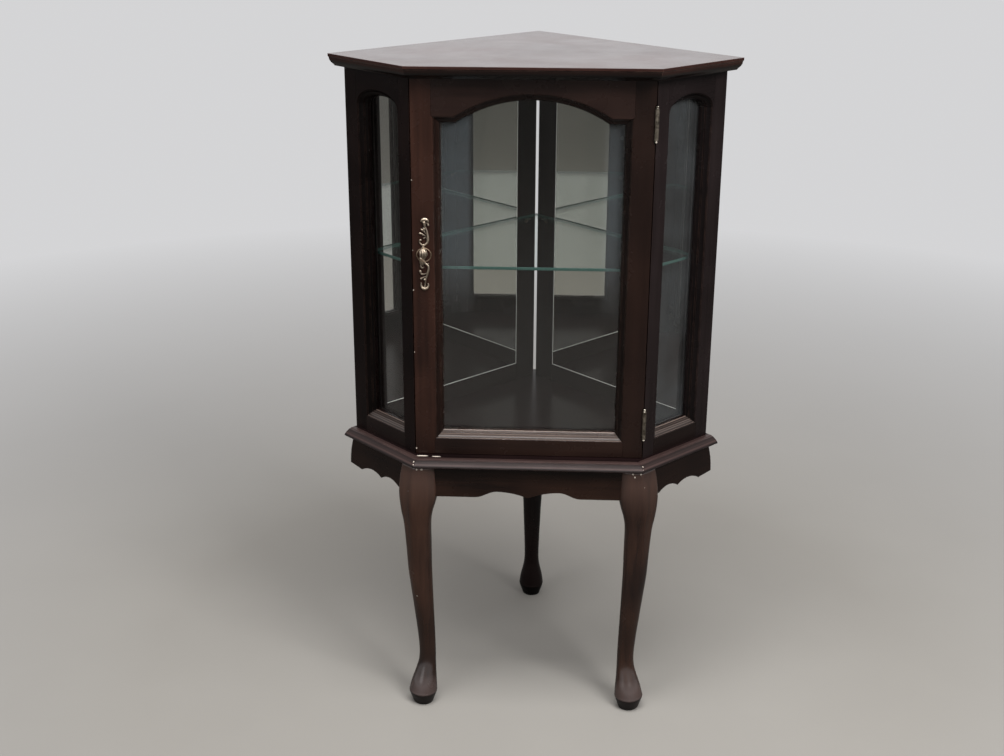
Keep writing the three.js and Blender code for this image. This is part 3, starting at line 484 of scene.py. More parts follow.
def door_painted_reflection(shader):
    """A painted reflection on the door's pane: thickest beside the stiles, and gone low down."""
    place = shader.separate(shader.place())
    beside = shader.math("MAXIMUM", *(shader.ranged(place[0], *ends) for ends in PAINTED_REFLECTION_ENDS))
    high = shader.ranged(place[2], *PAINTED_REFLECTION_FOOT)
    clouds = shader.noise(shader.place(), **DOOR_CLOUDS)
    clouds = shader.ranged(clouds, *NOISE_SPREAD, *DOOR_PAINTED_REFLECTION_SPREAD)
    return shader.math("MULTIPLY", shader.math("MULTIPLY", beside, high), clouds)


def side_painted_reflection(shader):
    """The thinner, cloudy painted reflection on the right pane."""
    return shader.ranged(shader.noise(shader.place(), **SIDE_CLOUDS), *NOISE_SPREAD, *SIDE_PAINTED_REFLECTION_SPREAD)


def clear_glass(name, tint, clouded, painted_reflection=None):
    """A thin pane: each face lets light straight through, and mirrors more at a glancing angle."""
    shader = Shader(name)
    through = shader.add("ShaderNodeBsdfTransparent")
    streaks = shader.noise(shader.place(), **PANE_STREAKS)
    shader.put(through.inputs["Color"], shader.mix(streaks, clouded, tint))
    mirrored = shader.ranged(glance(shader), 0, 1, HEAD_ON_MIRROR, 1)
    if painted_reflection is None:
        gloss = shader.principled(base_color=WHITE, metallic=1.0, roughness=0.0)
    else:
        # A painted reflection laid over the gloss: blue-grey, less metallic and stronger where it lies
        reflection_amount = painted_reflection(shader)
        gloss = shader.principled(
            base_color=shader.mix(reflection_amount, WHITE, PAINTED_REFLECTION),
            metallic=shader.ranged(reflection_amount, 0, 1, 1, PAINTED_REFLECTION_METALLIC),
            roughness=0.0,
        )
        mirrored = shader.math("ADD", mirrored, shader.math("MULTIPLY", reflection_amount, PAINTED_REFLECTION_SHARE))
    shader.blend(mirrored, through.outputs["BSDF"], gloss)
    return shader.material


MIRROR_CLOUDS = {"scale": 7, "detail": 5, "roughness": 0.6}
METAL_SPOTS = {"detail": 5, "roughness": 0.65}
METAL_SPREAD = (0.35, 0.65)


def mirror_glass():
    shader = Shader("silvered_mirror")
    clouds = shader.noise(shader.place(), **MIRROR_CLOUDS)
    shader.principled(
        base_color=shader.mix(clouds, srgb(222, 224, 220), srgb(234, 235, 231)),
        metallic=1.0,
        roughness=0.0,
    )
    return shader.material


def metal(name, dark, light, roughness, scale=160):
    shader = Shader(name)
    spots = shader.noise(shader.place(), scale, **METAL_SPOTS)
    shader.principled(
        base_color=shader.mix(shader.ranged(spots, *METAL_SPREAD), dark, light),
        metallic=1.0,
        roughness=shader.wavering(spots, roughness, 0.08, 0.12),
        normal=shader.bump(spots, strength=0.15, distance=0.2 * MM),
    )
    return shader.material


CAST_SPOT_SCALE = 700
CAST_SPOT_WEIGHT = 0.4
RAISED_WEIGHT = 0.8
RAISED = (case_front - 1.2 * MM, case_front - 3.6 * MM)
PATINA_SPREAD = (0.25, 0.95)


def antique_brass():
    """Cast brass: dark patina low down near the door, rubbed bright where it stands out."""
    shader = Shader("antique_brass")
    raised = shader.ranged(shader.separate(shader.place())[1], *RAISED)
    spots = shader.noise(shader.place(), CAST_SPOT_SCALE, **METAL_SPOTS)
    level = shader.weighted((raised, RAISED_WEIGHT), (spots, CAST_SPOT_WEIGHT))
    level = shader.math("SUBTRACT", level, shader.attribute("groove"))
    shader.principled(
        base_color=shader.mix(shader.ranged(level, *PATINA_SPREAD), srgb(46, 36, 30), srgb(200, 183, 162)),
        metallic=1.0,
        roughness=shader.ranged(spots, *NOISE_SPREAD, 0.3, 0.46),
        normal=shader.bump(spots, strength=0.2, distance=0.1 * MM),
    )
    return shader.material


MOULDED_GRAIN = {"scale": 600, "detail": 3}


def moulded(name, dark, light, roughness, painted_glow=0.0):
    shader = Shader(name)
    grains = shader.noise(shader.place(), **MOULDED_GRAIN)
    # Emission above zero makes the part shine: painted light
    shader.principled(
        base_color=shader.mix(grains, dark, light),
        roughness=shader.wavering(grains, roughness, 0.05, 0.1),
        normal=shader.bump(grains, strength=0.2, distance=0.1 * MM),
        emission_color=light,
        emission_strength=painted_glow,
    )
    return shader.material


PANE_TINTS = ((0.970, 0.971, 0.966, 1), (0.954, 0.955, 0.95, 1))
SHELF_TINTS = ((0.93, 0.965, 0.95, 1), (0.91, 0.95, 0.935, 1))
pane_glass = clear_glass("clear_pane", *PANE_TINTS)
door_pane_glass = clear_glass("door_pane", *PANE_TINTS, painted_reflection=door_painted_reflection)
side_panes = {"right": clear_glass("right_pane", *PANE_TINTS, painted_reflection=side_painted_reflection), "left": pane_glass}
shelf_glass = clear_glass("clear_shelf", *SHELF_TINTS)
mirror = mirror_glass()
green_edge = moulded("green_edge", srgb(42, 74, 68), srgb(64, 104, 96), 0.2)
# The mirror's edges shine a little by emission: painted light
mirror_edge = moulded("mirror_edge", srgb(206, 208, 202), srgb(236, 237, 232), 0.2, painted_glow=0.2)
brass = metal("aged_brass", srgb(92, 78, 66), srgb(182, 160, 134), 0.3)
hinge_brass = metal("hinge_brass", srgb(92, 84, 74), srgb(152, 142, 128), 0.34)
pin_brass = metal("pin_brass", srgb(130, 122, 110), srgb(196, 188, 174), 0.28)
cast_brass = antique_brass()
steel = metal("zinc_steel", srgb(110, 110, 108), srgb(168, 168, 165), 0.34, scale=240)
vinyl = moulded("dark_vinyl", srgb(24, 19, 17), srgb(40, 31, 28), 0.5)
plastic = moulded("brown_plastic", srgb(50, 34, 26), srgb(70, 48, 38), 0.45)


# Pieces
JOINT_REACH = 0.5 * MM


def neighbours(name):
    """A search tree over every other CAD node's faces."""
    points = []
    faces = []
    for other, node in nodes.items():
        if other != name:
            start = len(points)
            points.extend(vertex.co.copy() for vertex in node.data.vertices)
            faces.extend([start + index for index in polygon.vertices] for polygon in node.data.polygons)
    return BVHTree.FromPolygons(points, faces)


def is_open(edge, tree):
    """False where the edge lies in a joint with a neighbour, which keeps its corner square."""
    middle = (edge.verts[0].co + edge.verts[1].co) / 2
    return tree.find_nearest(middle, JOINT_REACH)[0] is None


FRONTWARD = Vector((0, -1, 0))
OUTWARD = {"right": Vector((1, -1, 0)).normalized(), "left": Vector((-1, -1, 0)).normalized()}
INSET_DEPTHS = (0.9 * MM, 14 * MM)
INSET_FACING = 0.1


def mark_inset(bm, outward):
    """Marks the faces of a window moulding, set back from the piece's face and looking outward, where
    painted shade and painted lines go.
    """
    inset = bm.faces.layers.float.new("inset")
    bm.normal_update()
    front = max(vertex.co.dot(outward) for vertex in bm.verts)
    start, end = INSET_DEPTHS
    for face in bm.faces:
        depth = front - face.calc_center_median().dot(outward)
        if start < depth < end and face.normal.dot(outward) > INSET_FACING:
            face[inset] = 1.0


WELD_REACH = 0.001 * MM
FLAT_ANGLE = math.radians(0.5)
NORMAL_WEIGHT = 60


def dressed(name, material, radius=0.35 * MM, angle=26, segments=2):
    """A copy of a CAD node with its free arrises rounded, and its wear and mouldings marked."""
    tree = neighbours(name)
    bm = bmesh.new()
    bm.from_mesh(nodes[name].data)
    bmesh.ops.remove_doubles(bm, verts=bm.verts, dist=WELD_REACH)
    bmesh.ops.dissolve_limit(
        bm, angle_limit=FLAT_ANGLE, verts=bm.verts, edges=bm.edges, delimit={"NORMAL"})
    limit = math.radians(angle)
    corners = [e for e in bm.edges if len(e.link_faces) == 2 and e.calc_face_angle(0) > limit]
    arrises = [e for e in corners if is_open(e, tree)]
    for edge in corners:
        edge.smooth = edge in arrises
    wear = bm.faces.layers.float.new("wear")
    made = bmesh.ops.bevel(
        bm, geom=arrises, offset=radius, offset_type="OFFSET", segments=segments, profile=0.5,
        affect="EDGES", clamp_overlap=True)
    for face in made["faces"]:
        face[wear] = 1.0
    mark_inset(bm, OUTWARD.get(name.split("_")[0], FRONTWARD))
    mesh = bpy.data.meshes.new(f"{name}_dressed")
    bm.to_mesh(mesh)
    bm.free()
    mesh.materials.append(material)
    for polygon in mesh.polygons:
        polygon.use_smooth = True
    piece = placed(f"{name}_dressed", mesh)
    weighted = piece.modifiers.new("weighted", "WEIGHTED_NORMAL")
    weighted.keep_sharp = True
    weighted.weight = NORMAL_WEIGHT
    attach(piece, body_of_node[name])
    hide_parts(name)
    return piece


def quads_between(rows, sides, closed=False):
    """The faces between rows of points, each a loop; closed joins the last row to the first."""
    faces = []
    for row in range(rows if closed else rows - 1):
        near = row * sides
        far = (row + 1) % rows * sides
        for side in range(sides):
            turned = (side + 1) % sides
            faces.append((near + side, near + turned, far + turned, far + side))
    return faces


def smooth_piece(name, points, faces, material):
    """A piece of smooth quads, with any larger end faces left flat."""
    mesh = bpy.data.meshes.new(name)
    mesh.from_pydata(points, [], faces)
    for polygon in mesh.polygons:
        polygon.use_smooth = len(polygon.vertices) == 4
    mesh.materials.append(material)
    return placed(name, mesh)


# Legs: sections taken off the CAD leg, joined by smooth curves
LEG_SIDES = 72
LEG_STEP = 4 * MM
PAD_SECTIONS = 6
RIM_ROUNDING = 0.7 * MM
RIM_SHOULDER = 9 * MM
# A leg turns square from this share of its height on, over this share
SQUARING_START = 0.42
SQUARING_RUN = 0.5
# A front leg's outer corner, at the ankle and at the knee: how far it reaches, and how crisp it is
CORNER_REACH = (0.8, 0.63)
CORNER_CRISPNESS = (6, 40)
FRONT_LEG_OFFSET = 50 * MM


def leg_sections(mesh, turn):
    """Height, centre and half widths of each ring of the CAD leg, in axes turned about z."""
    levels = {}
    back = Matrix.Rotation(-turn, 3, "Z")
    for vertex in mesh.vertices:
        levels.setdefault(round(vertex.co.z / MM, 1), []).append(back @ vertex.co)
    sections = []
    for level in sorted(levels):
        points = levels[level]
        sides = [[point[axis] for point in points] for axis in (0, 1)]
        middle = [(max(side) + min(side)) / 2 for side in sides]
        half = [(max(side) - min(side)) / 2 for side in sides]
        sections.append((points[0].z, Vector((*middle, *half))))
    return sections


def hermite(a, b, slope_a, slope_b, share):
    """A smooth curve from a to b, with the slope that each end is given."""
    rest = 1 - share
    return (a * (1 + 2 * share) * rest ** 2 + slope_a * share * rest ** 2
            + b * share ** 2 * (3 - 2 * share) - slope_b * share ** 2 * rest)


def finer(sections, rim):
    """The sections with smooth ones added between them, and a corner left at the rim."""
    def slope(first, last):
        return (sections[last][1] - sections[first][1]) / (sections[last][0] - sections[first][0])

    last = len(sections) - 1
    made = []
    for index in range(last):
        (low, a), (high, b) = sections[index:index + 2]
        before = index if index == 0 or low == rim else index - 1
        after = index + 1 if index + 1 == last or high == rim else index + 2
        steps = max(1, round((high - low) / LEG_STEP))
        for step in range(steps):
            share = step / steps
            rise = high - low
            values = hermite(a, b, slope(before, index + 1) * rise, slope(index, after) * rise, share)
            made.append((low + rise * share, values))
    return made + [sections[last]]


def between(pair, share):
    return pair[0] + (pair[1] - pair[0]) * share


def with_rim(sections):
    """Close rows of sections up the leg, with the rim of its pad slightly rounded."""
    rim = max(sections[:PAD_SECTIONS], key=lambda section: section[1][3])[0]
    kept = [section for section in sections if not rim < section[0] < rim + RIM_SHOULDER]
    rows = finer(kept, rim)
    for values in [values for height, values in rows if height == rim]:
        soft = values - Vector((0, 0, RIM_ROUNDING / 2, RIM_ROUNDING / 2))
        rows.append((rim - RIM_ROUNDING, soft))
        rows.append((rim + RIM_ROUNDING, soft))
    return sorted(rows, key=lambda row: row[0])


def leg(name, material, turn=0.0, top_squareness=3.6):
    """A carved leg: round at the ankle, squarer towards the knee, with a crisp rim round the pad."""
    rows = with_rim(leg_sections(nodes[name].data, turn))
    top, (top_x, *_) = rows[-1]
    outer = math.copysign(1, top_x) if abs(top_x) > FRONT_LEG_OFFSET else 0
    spin = Matrix.Rotation(turn, 3, "Z")
    points = []
    for height, (x, y, half_x, half_y) in rows:
        share = min(1, max(0, (height / top - SQUARING_START) / SQUARING_RUN))
        squareness = 2 + (top_squareness - 2) * share ** 2 * (3 - 2 * share)
        limit = (half_x + half_y) / math.sqrt(2) * between(CORNER_REACH, share)
        crispness = between(CORNER_CRISPNESS, share)
        for across, along in circle(LEG_SIDES):
            reach = (abs(across) ** squareness + abs(along) ** squareness) ** (-1 / squareness)
            place = Vector((half_x * across * reach, half_y * along * reach))
            corner = (place.x * outer - place.y) / math.sqrt(2)
            if outer and corner > 0:
                place *= (1 + (corner / limit) ** crispness) ** (-1 / crispness)
            points.append(spin @ Vector((x + place.x, y + place.y, height)))
    faces = quads_between(len(rows), LEG_SIDES)
    last = (len(rows) - 1) * LEG_SIDES
    faces.append(tuple(reversed(range(LEG_SIDES))))
    faces.append(tuple(range(last, last + LEG_SIDES)))
    piece = smooth_piece(f"{name}_carved", points, faces, material)
    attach(piece, body_of_node[name])
    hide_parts(name)
    return piece


# Pull: strokes of a modelled scroll, each point right of and above the pull's centre with a half width
PULL_STROKES = (
    ((-3.6, 52.6, 1.7), (-1.4, 55.2, 2.6), (1.7, 55.6, 3.1), (4.8, 55.2, 2.6), (7.0, 52.6, 1.7)),
    ((0.6, 51.0, 2.6), (1.2, 47.0, 2.2), (2.0, 43.0, 1.6)),
    ((3.5, 50.0, 1.0), (6.4, 49.2, 1.2), (7.3, 46.6, 1.8)),
    ((2.3, 43.5, 1.4), (4.5, 38.0, 1.7), (6.0, 30.0, 2.1), (6.5, 24.0, 2.2), (5.5, 19.0, 2.1),
     (2.0, 15.5, 1.9), (-2.0, 14.5, 1.7), (-5.5, 17.0, 1.5), (-7.0, 21.0, 1.3), (-5.0, 22.8, 2.1)),
    ((2.9, 33.0, 0.9), (0.0, 36.9, 1.3), (-3.4, 39.6, 1.7)),
    ((0.6, 40.4, 2.2), (1.6, 41.6, 1.6)),
    ((2.0, 29.5, 1.0), (-2.4, 32.2, 1.5), (-5.8, 33.4, 2.1)),
    ((4.8, 24.5, 0.9), (2.4, 27.0, 1.0), (0.0, 25.7, 1.5)),
    ((-1.0, 15.0, 2.0), (-1.2, 8.0, 2.6), (-1.4, 2.0, 3.0), (-2.2, -6.0, 2.2), (-3.6, -11.0, 2.6)),
    ((-6.0, -6.8, 2.0), (-2.8, -7.4, 2.9), (0.4, -6.8, 2.0)),
    ((-5.8, -10.5, 1.9), (-6.0, -14.0, 1.6), (-5.0, -17.8, 1.1)),
    ((-3.0, -10.5, 2.5), (-2.6, -14.5, 2.1), (-2.0, -18.0, 1.2)),
    ((-0.6, -10.5, 2.0), (2.0, -15.0, 2.0), (6.0, -18.6, 2.0), (6.7, -24.0, 2.0), (5.3, -30.0, 1.9),
     (4.0, -35.0, 1.7), (2.4, -40.0, 1.5), (1.4, -46.0, 1.4), (0.6, -53.0, 1.8)),
    ((5.2, -16.6, 1.0), (6.3, -14.8, 1.4)),
    ((4.4, -30.5, 1.0), (-1.5, -32.6, 1.4), (-5.2, -31.4, 1.7), (-6.3, -27.6, 2.1)),
    ((3.4, -36.0, 1.0), (-1.8, -37.6, 1.4), (-5.3, -39.7, 1.9)),
    ((0.4, -41.0, 2.2), (1.6, -41.6, 1.6)),
    ((-3.4, -14.0, 1.0), (-5.6, -19.5, 1.5), (-3.0, -22.5, 1.3), (-0.5, -20.6, 1.0)),
    ((-5.0, -46.6, 1.1), (-5.2, -51.0, 1.7), (-3.4, -54.8, 2.3), (0.2, -56.2, 2.6), (4.0, -54.8, 2.3),
     (6.2, -51.0, 1.7), (5.6, -47.4, 1.2)),
)
# Steps between beads as a share of their radius, and how far the casting stands off the door
BEAD_STEP = 0.32
CAST_VOXEL = 0.36 * MM
CAST_SOFTENING = 3
RELIEF_BACK = 0.3 * MM
RELIEF_MIDDLE = 1.2 * MM
RELIEF_DEPTH = 0.9


def centre_of(name):
    low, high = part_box(name)
    return (Vector(low) + Vector(high)) / 2


def along_stroke(stroke):
    """Close points on a smooth line through the stroke's own points."""
    points = [Vector(point) for point in stroke]
    made = []
    for index in range(len(points) - 1):
        a, b = points[index:index + 2]
        before = points[max(0, index - 1)]
        after = points[min(len(points) - 1, index + 2)]
        steps = max(2, round((b - a).length / (BEAD_STEP * min(a.z, b.z)) / 2))
        for step in range(steps):
            made.append(hermite(a, b, (b - before) / 2, (after - a) / 2, step / steps))
    return made + [points[-1]]


def cast_scroll(name, material):
    """The pull's back plate: beads set along each stroke, melted into one casting."""
    middle = centre_of(name)
    bm = bmesh.new()
    for stroke in PULL_STROKES:
        for across, up, half in along_stroke(stroke):
            place = Vector((middle.x + across * MM, case_front - RELIEF_MIDDLE, middle.z + up * MM))
            size = half * MM
            matrix = Matrix.LocRotScale(place, None, Vector((size, size * RELIEF_DEPTH, size)))
            bmesh.ops.create_icosphere(bm, subdivisions=2, radius=1.0, matrix=matrix)
    beads = bpy.data.meshes.new(f"{name}_beads")
    bm.to_mesh(beads)
    bm.free()
    piece = placed(f"{name}_cast", beads)
    melt = piece.modifiers.new("melt", "REMESH")
    melt.mode = "VOXEL"
    melt.voxel_size = CAST_VOXEL
    soften = piece.modifiers.new("soften", "SMOOTH")
    soften.factor = 0.5
    soften.iterations = CAST_SOFTENING
    graph = bpy.context.evaluated_depsgraph_get()
    mesh = bpy.data.meshes.new_from_object(piece.evaluated_get(graph))
    piece.modifiers.clear()
    piece.data = mesh
    for vertex in mesh.vertices:
        vertex.co.y = min(vertex.co.y, case_front - RELIEF_BACK)
    for polygon in mesh.polygons:
        polygon.use_smooth = True
    mesh.materials.clear()
    mesh.materials.append(material)
    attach(piece, body_of_node[name])
    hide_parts(name)
    return piece


def skinned(name, rows, material, closed=False, extra=""):
    """Rows of points, each a loop, joined into one smooth skin.
    It stands for the node of that name, or is an extra piece set on it."""
    points = [point for row in rows for point in row]
    faces = quads_between(len(rows), len(rows[0]), closed)
    piece = smooth_piece(f"{name}_{extra or 'cast'}", points, faces, material)
    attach(piece, body_of_node[name])
    if not extra:
        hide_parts(name)
    return piece


TURNED_SIDES = 24
BUD_ROWS = 28
BUD_SIDES = 80
BUD_FLUTES = 10
FLUTE_DEPTH = 0.13
BUD_TIP = 0.001
BUD_LIFT = 5 * MM
NECK_RADIUS = 2.2 * MM
# The neck's outline: share of the way to the plate, and radius as a share
NECK_SHARES = ((0.0, 1.0), (0.35, 0.9), (0.6, 1.1), (0.72, 1.7), (0.8, 1.9), (0.88, 1.5), (1.0, 1.6))


def flute(side):
    """1 at the bottom of a flute, 0 on the ridge between two."""
    return ((1 + math.cos(BUD_FLUTES * 2 * math.pi * side / BUD_SIDES)) / 2) ** 2


def fluted_bud(name, material):
    """An egg with flutes from tip to tip, and the short turned neck that it stands on."""
    low, high = (Vector(corner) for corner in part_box(name))
    radius = (high.x - low.x) / 2
    half_height = (high.z - low.z) / 2
    middle = Vector(((low.x + high.x) / 2, low.y + radius, (low.z + high.z) / 2 + BUD_LIFT))
    rows = []
    for row in range(BUD_ROWS + 1):
        rise = math.pi * row / BUD_ROWS
        ring = []
        for side, (across, along) in enumerate(circle(BUD_SIDES)):
            reach = max(BUD_TIP, math.sin(rise)) * (1 - FLUTE_DEPTH * flute(side) * math.sin(rise))
            ring.append(middle + Vector((
                radius * reach * across, radius * reach * along, -half_height * math.cos(rise))))
        rows.append(ring)
    bud = skinned(name, rows, material)
    groove = bud.data.attributes.new("groove", "FLOAT", "POINT")
    for index in range(len(bud.data.vertices)):
        groove.data[index].value = flute(index % BUD_SIDES)
    neck_rows = [
        [Vector((middle.x + NECK_RADIUS * swell * across, between((middle.y, high.y), share),
                 middle.z + NECK_RADIUS * swell * up)) for across, up in circle(TURNED_SIDES)]
        for share, swell in NECK_SHARES]
    return bud, skinned(name, neck_rows, material)


# A hinge pin's end: radius and distance in from its tip, as shares of its own radius
PIN_SHARES = (
    (0.02, 0.0), (0.42, 0.06), (0.74, 0.3), (0.86, 0.72), (0.74, 1.12), (0.4, 1.4), (0.42, 1.6),
    (0.92, 1.72), (0.95, 2.1), (0.6, 2.3),
)


def ball_tipped_pin(name, material):
    """A hinge pin with a small ball on a collar at each end."""
    low, high = (Vector(corner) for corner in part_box(name))
    middle = (low + high) / 2
    radius = (high.x - low.x) / 2
    outline = [(share * radius, high.z - drop * radius) for share, drop in PIN_SHARES]
    outline += [(reach, low.z + high.z - z) for reach, z in reversed(outline)]
    rows = [
        [Vector((middle.x + reach * across, middle.y + reach * along, z))
         for across, along in circle(TURNED_SIDES)]
        for reach, z in reversed(outline)]
    return skinned(name, rows, material)


RING_BAR = 0.8 * MM
RING_STEPS = 72
RING_BAR_SIDES = 12


def bail_ring(name, material):
    """A round bar bent into an oval."""
    low, high = (Vector(corner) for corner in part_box(name))
    middle = (low + high) / 2
    half_width = (high.x - low.x) / 2 - RING_BAR
    half_height = (high.z - low.z) / 2 - RING_BAR
    rows = []
    for across, up in circle(RING_STEPS):
        outward = Vector((across, 0, up))
        place = middle + Vector((half_width * across, 0, half_height * up))
        rows.append([
            place + outward * RING_BAR * out + Vector((0, RING_BAR * back, 0))
            for out, back in circle(RING_BAR_SIDES)])
    return skinned(name, rows, material, closed=True)


GLASS_ANGLE = 50
GLASS_BEVEL = 0.5 * MM
MIRROR_BEVEL = 1.2 * MM
EDGE_FACE_SHARE = 0.2


def ground_glass(name, face_material, edge_material, bevel=GLASS_BEVEL):
    """A pane with its edges ground: narrow bevels and rims carry the edge's own material.
    Scattered light passes clear panes, so that the case is lit inside."""
    piece = dressed(name, face_material, radius=bevel, angle=GLASS_ANGLE, segments=1)
    piece.visible_diffuse = "mirror" in name
    mesh = piece.data
    mesh.materials.append(edge_material)
    widest = max(polygon.area for polygon in mesh.polygons)
    for polygon in mesh.polygons:
        if polygon.area < widest * EDGE_FACE_SHARE:
            polygon.material_index = 1
    return piece


EDGE_RADIUS = {"bottom": 0.5 * MM, "inner": 0.38 * MM}
EDGE_SIDES = 8
EDGE_TIP = 0.02
FACE_REACH = 0.1 * MM


def bead(name, extra, start, end, radius, material):
    """A thin round line between two points, tapered shut at both ends."""
    along = (end - start).normalized()
    across = along.orthogonal().normalized()
    rise = along.cross(across)
    taper = along * radius
    rows = []
    for place, share in ((start, EDGE_TIP), (start + taper, 1), (end - taper, 1), (end, EDGE_TIP)):
        rows.append([
            place + (across * out + rise * up) * radius * share for out, up in circle(EDGE_SIDES)])
    return skinned(name, rows, material, extra=extra)


def cut_edges(name, intoroom, material):
    """The cut edges of a mirror, seen as thin lines beside the strips that hold it, bright from the
    emission of their material: painted light.
    """
    points = [vertex.co for vertex in nodes[name].data.vertices]
    face = max(point.dot(intoroom) for point in points)
    corners = [point for point in points if point.dot(intoroom) > face - FACE_REACH]
    inner = min(corners, key=lambda point: (round(abs(point.x) / MM), point.z))
    outer = max(corners, key=lambda point: (round(abs(point.x) / MM), -point.z))
    top = max(corners, key=lambda point: (-round(abs(point.x) / MM), point.z))
    up = Vector((0, 0, EDGE_RADIUS["bottom"]))
    outward = (outer - inner).normalized() * EDGE_RADIUS["inner"]
    return [
        bead(name, "bottom_edge", inner + up, outer + up, EDGE_RADIUS["bottom"], material),
        bead(name, "inner_edge", inner + outward, top + outward, EDGE_RADIUS["inner"], material),
    ]


def painted(name, material):
    """Keeps a CAD node as it is, with a better material."""
    slots = nodes[name].data.materials
    slots.clear()
    slots.append(material)


front_woods = {
    "door_hinge_stile": hinge_stile_wood,
    "door_pull_stile": pull_stile_wood,
    "door_top_rail": top_rail_wood,
    "door_bottom_rail": sill_highlight_and_wear_woods["across"],
    "front_apron": front_apron_wood,
    "front_waist_moulding": waist_woods["across"],
    "base_board": base_wood,
    "top_board": top_wood,
}
for name, material in front_woods.items():
    dressed(name, material)
for side, leg_wood in (("right", right_leg_wood), ("left", left_leg_wood)):
    dressed(f"{side}_front_stile", side_woods[side]["up"])
    dressed(f"{side}_rear_stile", side_woods[side]["up"])
    dressed(f"{side}_side_top_rail", side_woods[side][side])
    dressed(f"{side}_apron", side_apron_woods[side])
    dressed(f"{side}_side_bottom_rail", sill_highlight_and_wear_woods[side])
    dressed(f"{side}_waist_moulding", waist_woods[side])
    leg(f"{side}_front_leg", leg_wood)
leg("back_leg", back_leg_wood, turn=SIDE_TURN, top_squareness=6)

for side, other in (("right", "left"), ("left", "right")):
    painted(f"{side}_back_panel", back_panel_wood)
    painted(f"{side}_corner_strip", backs["up"])
    painted(f"{side}_bottom_strip", backs[other])
    painted(f"{side}_back_rail", backs[other])
    painted(f"{side}_corner_block", backs["across"])
    mirror_piece = ground_glass(f"{side}_mirror", mirror, mirror_edge, bevel=MIRROR_BEVEL)
    for edge in cut_edges(f"{side}_mirror", OUTWARD[other], mirror_edge):
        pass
    ground_glass(f"{side}_side_glass", side_panes[side], green_edge)
    painted(f"{side}_side_glass_retainer", vinyl)
    painted(f"{side}_front_shelf_pin", brass)
    painted(f"{side}_rear_shelf_pin", brass)
painted("door_header", backs["across"])
ground_glass("door_glass", door_pane_glass, green_edge)
painted("door_glass_retainer", vinyl)
painted("magnetic_catch", plastic)
painted("strike_plate", steel)
ground_glass("glass_shelf", shelf_glass, green_edge)
for level in ("upper", "lower"):
    painted(f"{level}_pull_screw", steel)
    for end in ("hinge_frame_leaf", "hinge_door_leaf"):
        painted(f"{level}_{end}", hinge_brass)
    ball_tipped_pin(f"{level}_hinge_pin", pin_brass)
cast_scroll("pull_scroll_plate", cast_brass)
for piece in fluted_bud("pull_bud", cast_brass):
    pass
bail_ring("pull_ring", brass)


# Studio: soft light all round, three lamps, and a pale floor that fades into the distance
SOFT_LIGHT = 0.355
# How bright the distance looks
HORIZON = 0.67
PALE = (0.985, 0.985, 1.0, 1)
FLOOR_HALF = 30
FLOOR_GRAIN = {"scale": 3, "detail": 4}
FLOOR_TONES = (srgb(156, 152, 146), srgb(164, 160, 154))
# How much darker the floor is to scattered and to glossy light, and how much less so in mirrors
FLOOR_SCATTER_HOLD = 0.55
FLOOR_GLOSS_HOLD = 0.65
FLOOR_MIRROR_RETURN = 0.35
# How far from the middle of the floor its fade starts and is full
FLOOR_FADE = (0.7, 3.2)
# Each lamp's name, place, target, size and power
LAMPS = (
    ("key", (1.7, -2.0, 2.6), (0, 0, 0.7), (1.2, 1.2), 62),
    ("fill", (-2.2, -2.2, 1.9), (0, 0, 0.6), (1.6, 1.6), 16),
    ("over", (0.0, -0.7, 2.9), (0, -0.1, 0.5), (1.7, 0.9), 52),
)


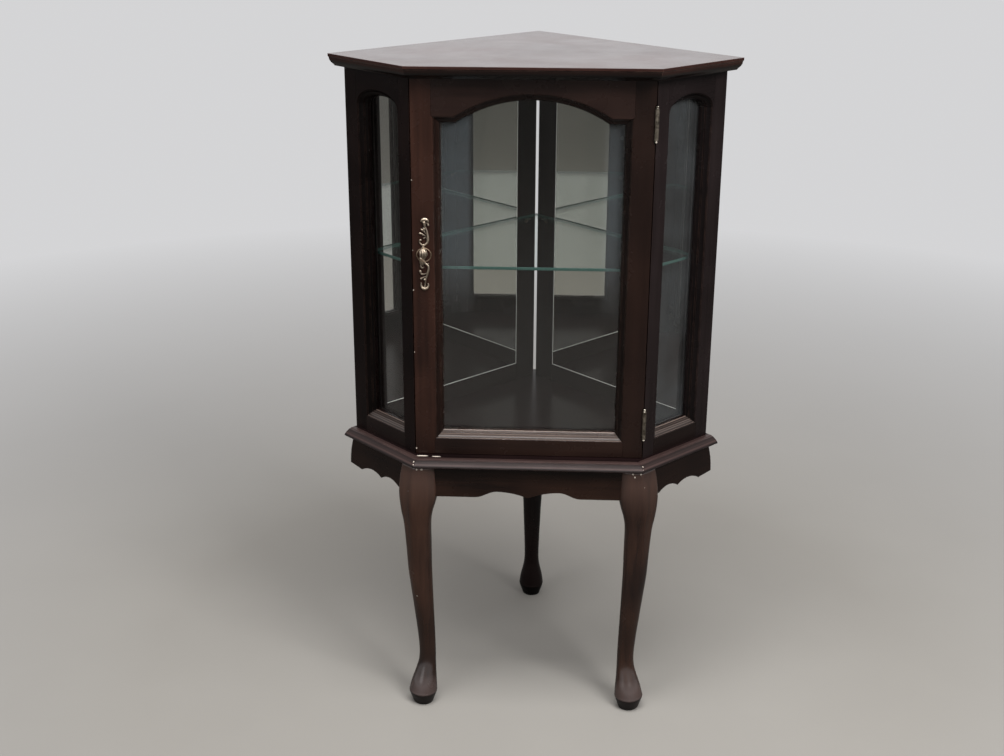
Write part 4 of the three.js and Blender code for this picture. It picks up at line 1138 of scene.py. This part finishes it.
def floor_material():
    """Pale paper that keeps the object's shadow and fades to plain pale light far from it."""
    shader = Shader("studio_floor")
    seen = shader.mix(shader.noise(shader.place(), **FLOOR_GRAIN), *FLOOR_TONES)
    path = shader.add("ShaderNodeLightPath").outputs
    held = shader.math(
        "MAXIMUM",
        shader.math("MULTIPLY", path["Is Diffuse Ray"], FLOOR_SCATTER_HOLD),
        shader.math("MULTIPLY", path["Is Glossy Ray"], FLOOR_GLOSS_HOLD),
    )
    returned = shader.math("MULTIPLY", path["Is Singular Ray"], FLOOR_MIRROR_RETURN)
    paper = shader.principled(
        base_color=shader.mix(shader.math("SUBTRACT", held, returned), seen, BLACK),
        roughness=0.7,
        specular_ior_level=0.1,
    )
    far = shader.fill(shader.add("ShaderNodeEmission"), (PALE, HORIZON)).outputs["Emission"]
    distance = shader.vector_math("LENGTH", shader.place(), output="Value")
    direct = shader.math("MAXIMUM", path["Is Camera Ray"], path["Is Transmission Ray"])
    shader.blend(shader.math("MULTIPLY", direct, shader.ranged(distance, *FLOOR_FADE)), paper, far)
    return shader.material


def studio_world():
    """Soft light all round; pale to the eye and in mirrors, and white where varnish catches it."""
    shader = Shader("studio", world=True)
    path = shader.add("ShaderNodeLightPath").outputs
    direct = shader.math("MAXIMUM", path["Is Camera Ray"], path["Is Transmission Ray"])
    direct = shader.math("MAXIMUM", direct, path["Is Singular Ray"])
    sheen = shader.math("SUBTRACT", path["Is Glossy Ray"], path["Is Singular Ray"])
    strength = shader.math("MAXIMUM", shader.math("MULTIPLY", direct, HORIZON), sheen)
    strength = shader.math("MAXIMUM", strength, SOFT_LIGHT)
    shader.surface(shader.fill(shader.add("ShaderNodeBackground"), (PALE, strength)).outputs[0])
    return shader.material


floor_mesh = bpy.data.meshes.new("floor")
floor_mesh.from_pydata(
    [(x * FLOOR_HALF, y * FLOOR_HALF, 0) for x, y in ((-1, -1), (1, -1), (1, 1), (-1, 1))],
    [], [(0, 1, 2, 3)])
floor_mesh.materials.append(floor_material())
floor = placed("floor", floor_mesh)
bpy.context.scene.world = studio_world()

for name, place, target, size, power in LAMPS:
    light = bpy.data.lights.new(name, "AREA")
    light.shape = "RECTANGLE"
    light.size, light.size_y = size
    light.energy = power
    lamp = placed(name, light)
    lamp.location = place
    lamp.rotation_mode = "QUATERNION"
    lamp.rotation_quaternion = (Vector(target) - Vector(place)).to_track_quat("-Z", "Y")

bpy.context.scene.view_settings.view_transform = "Standard"
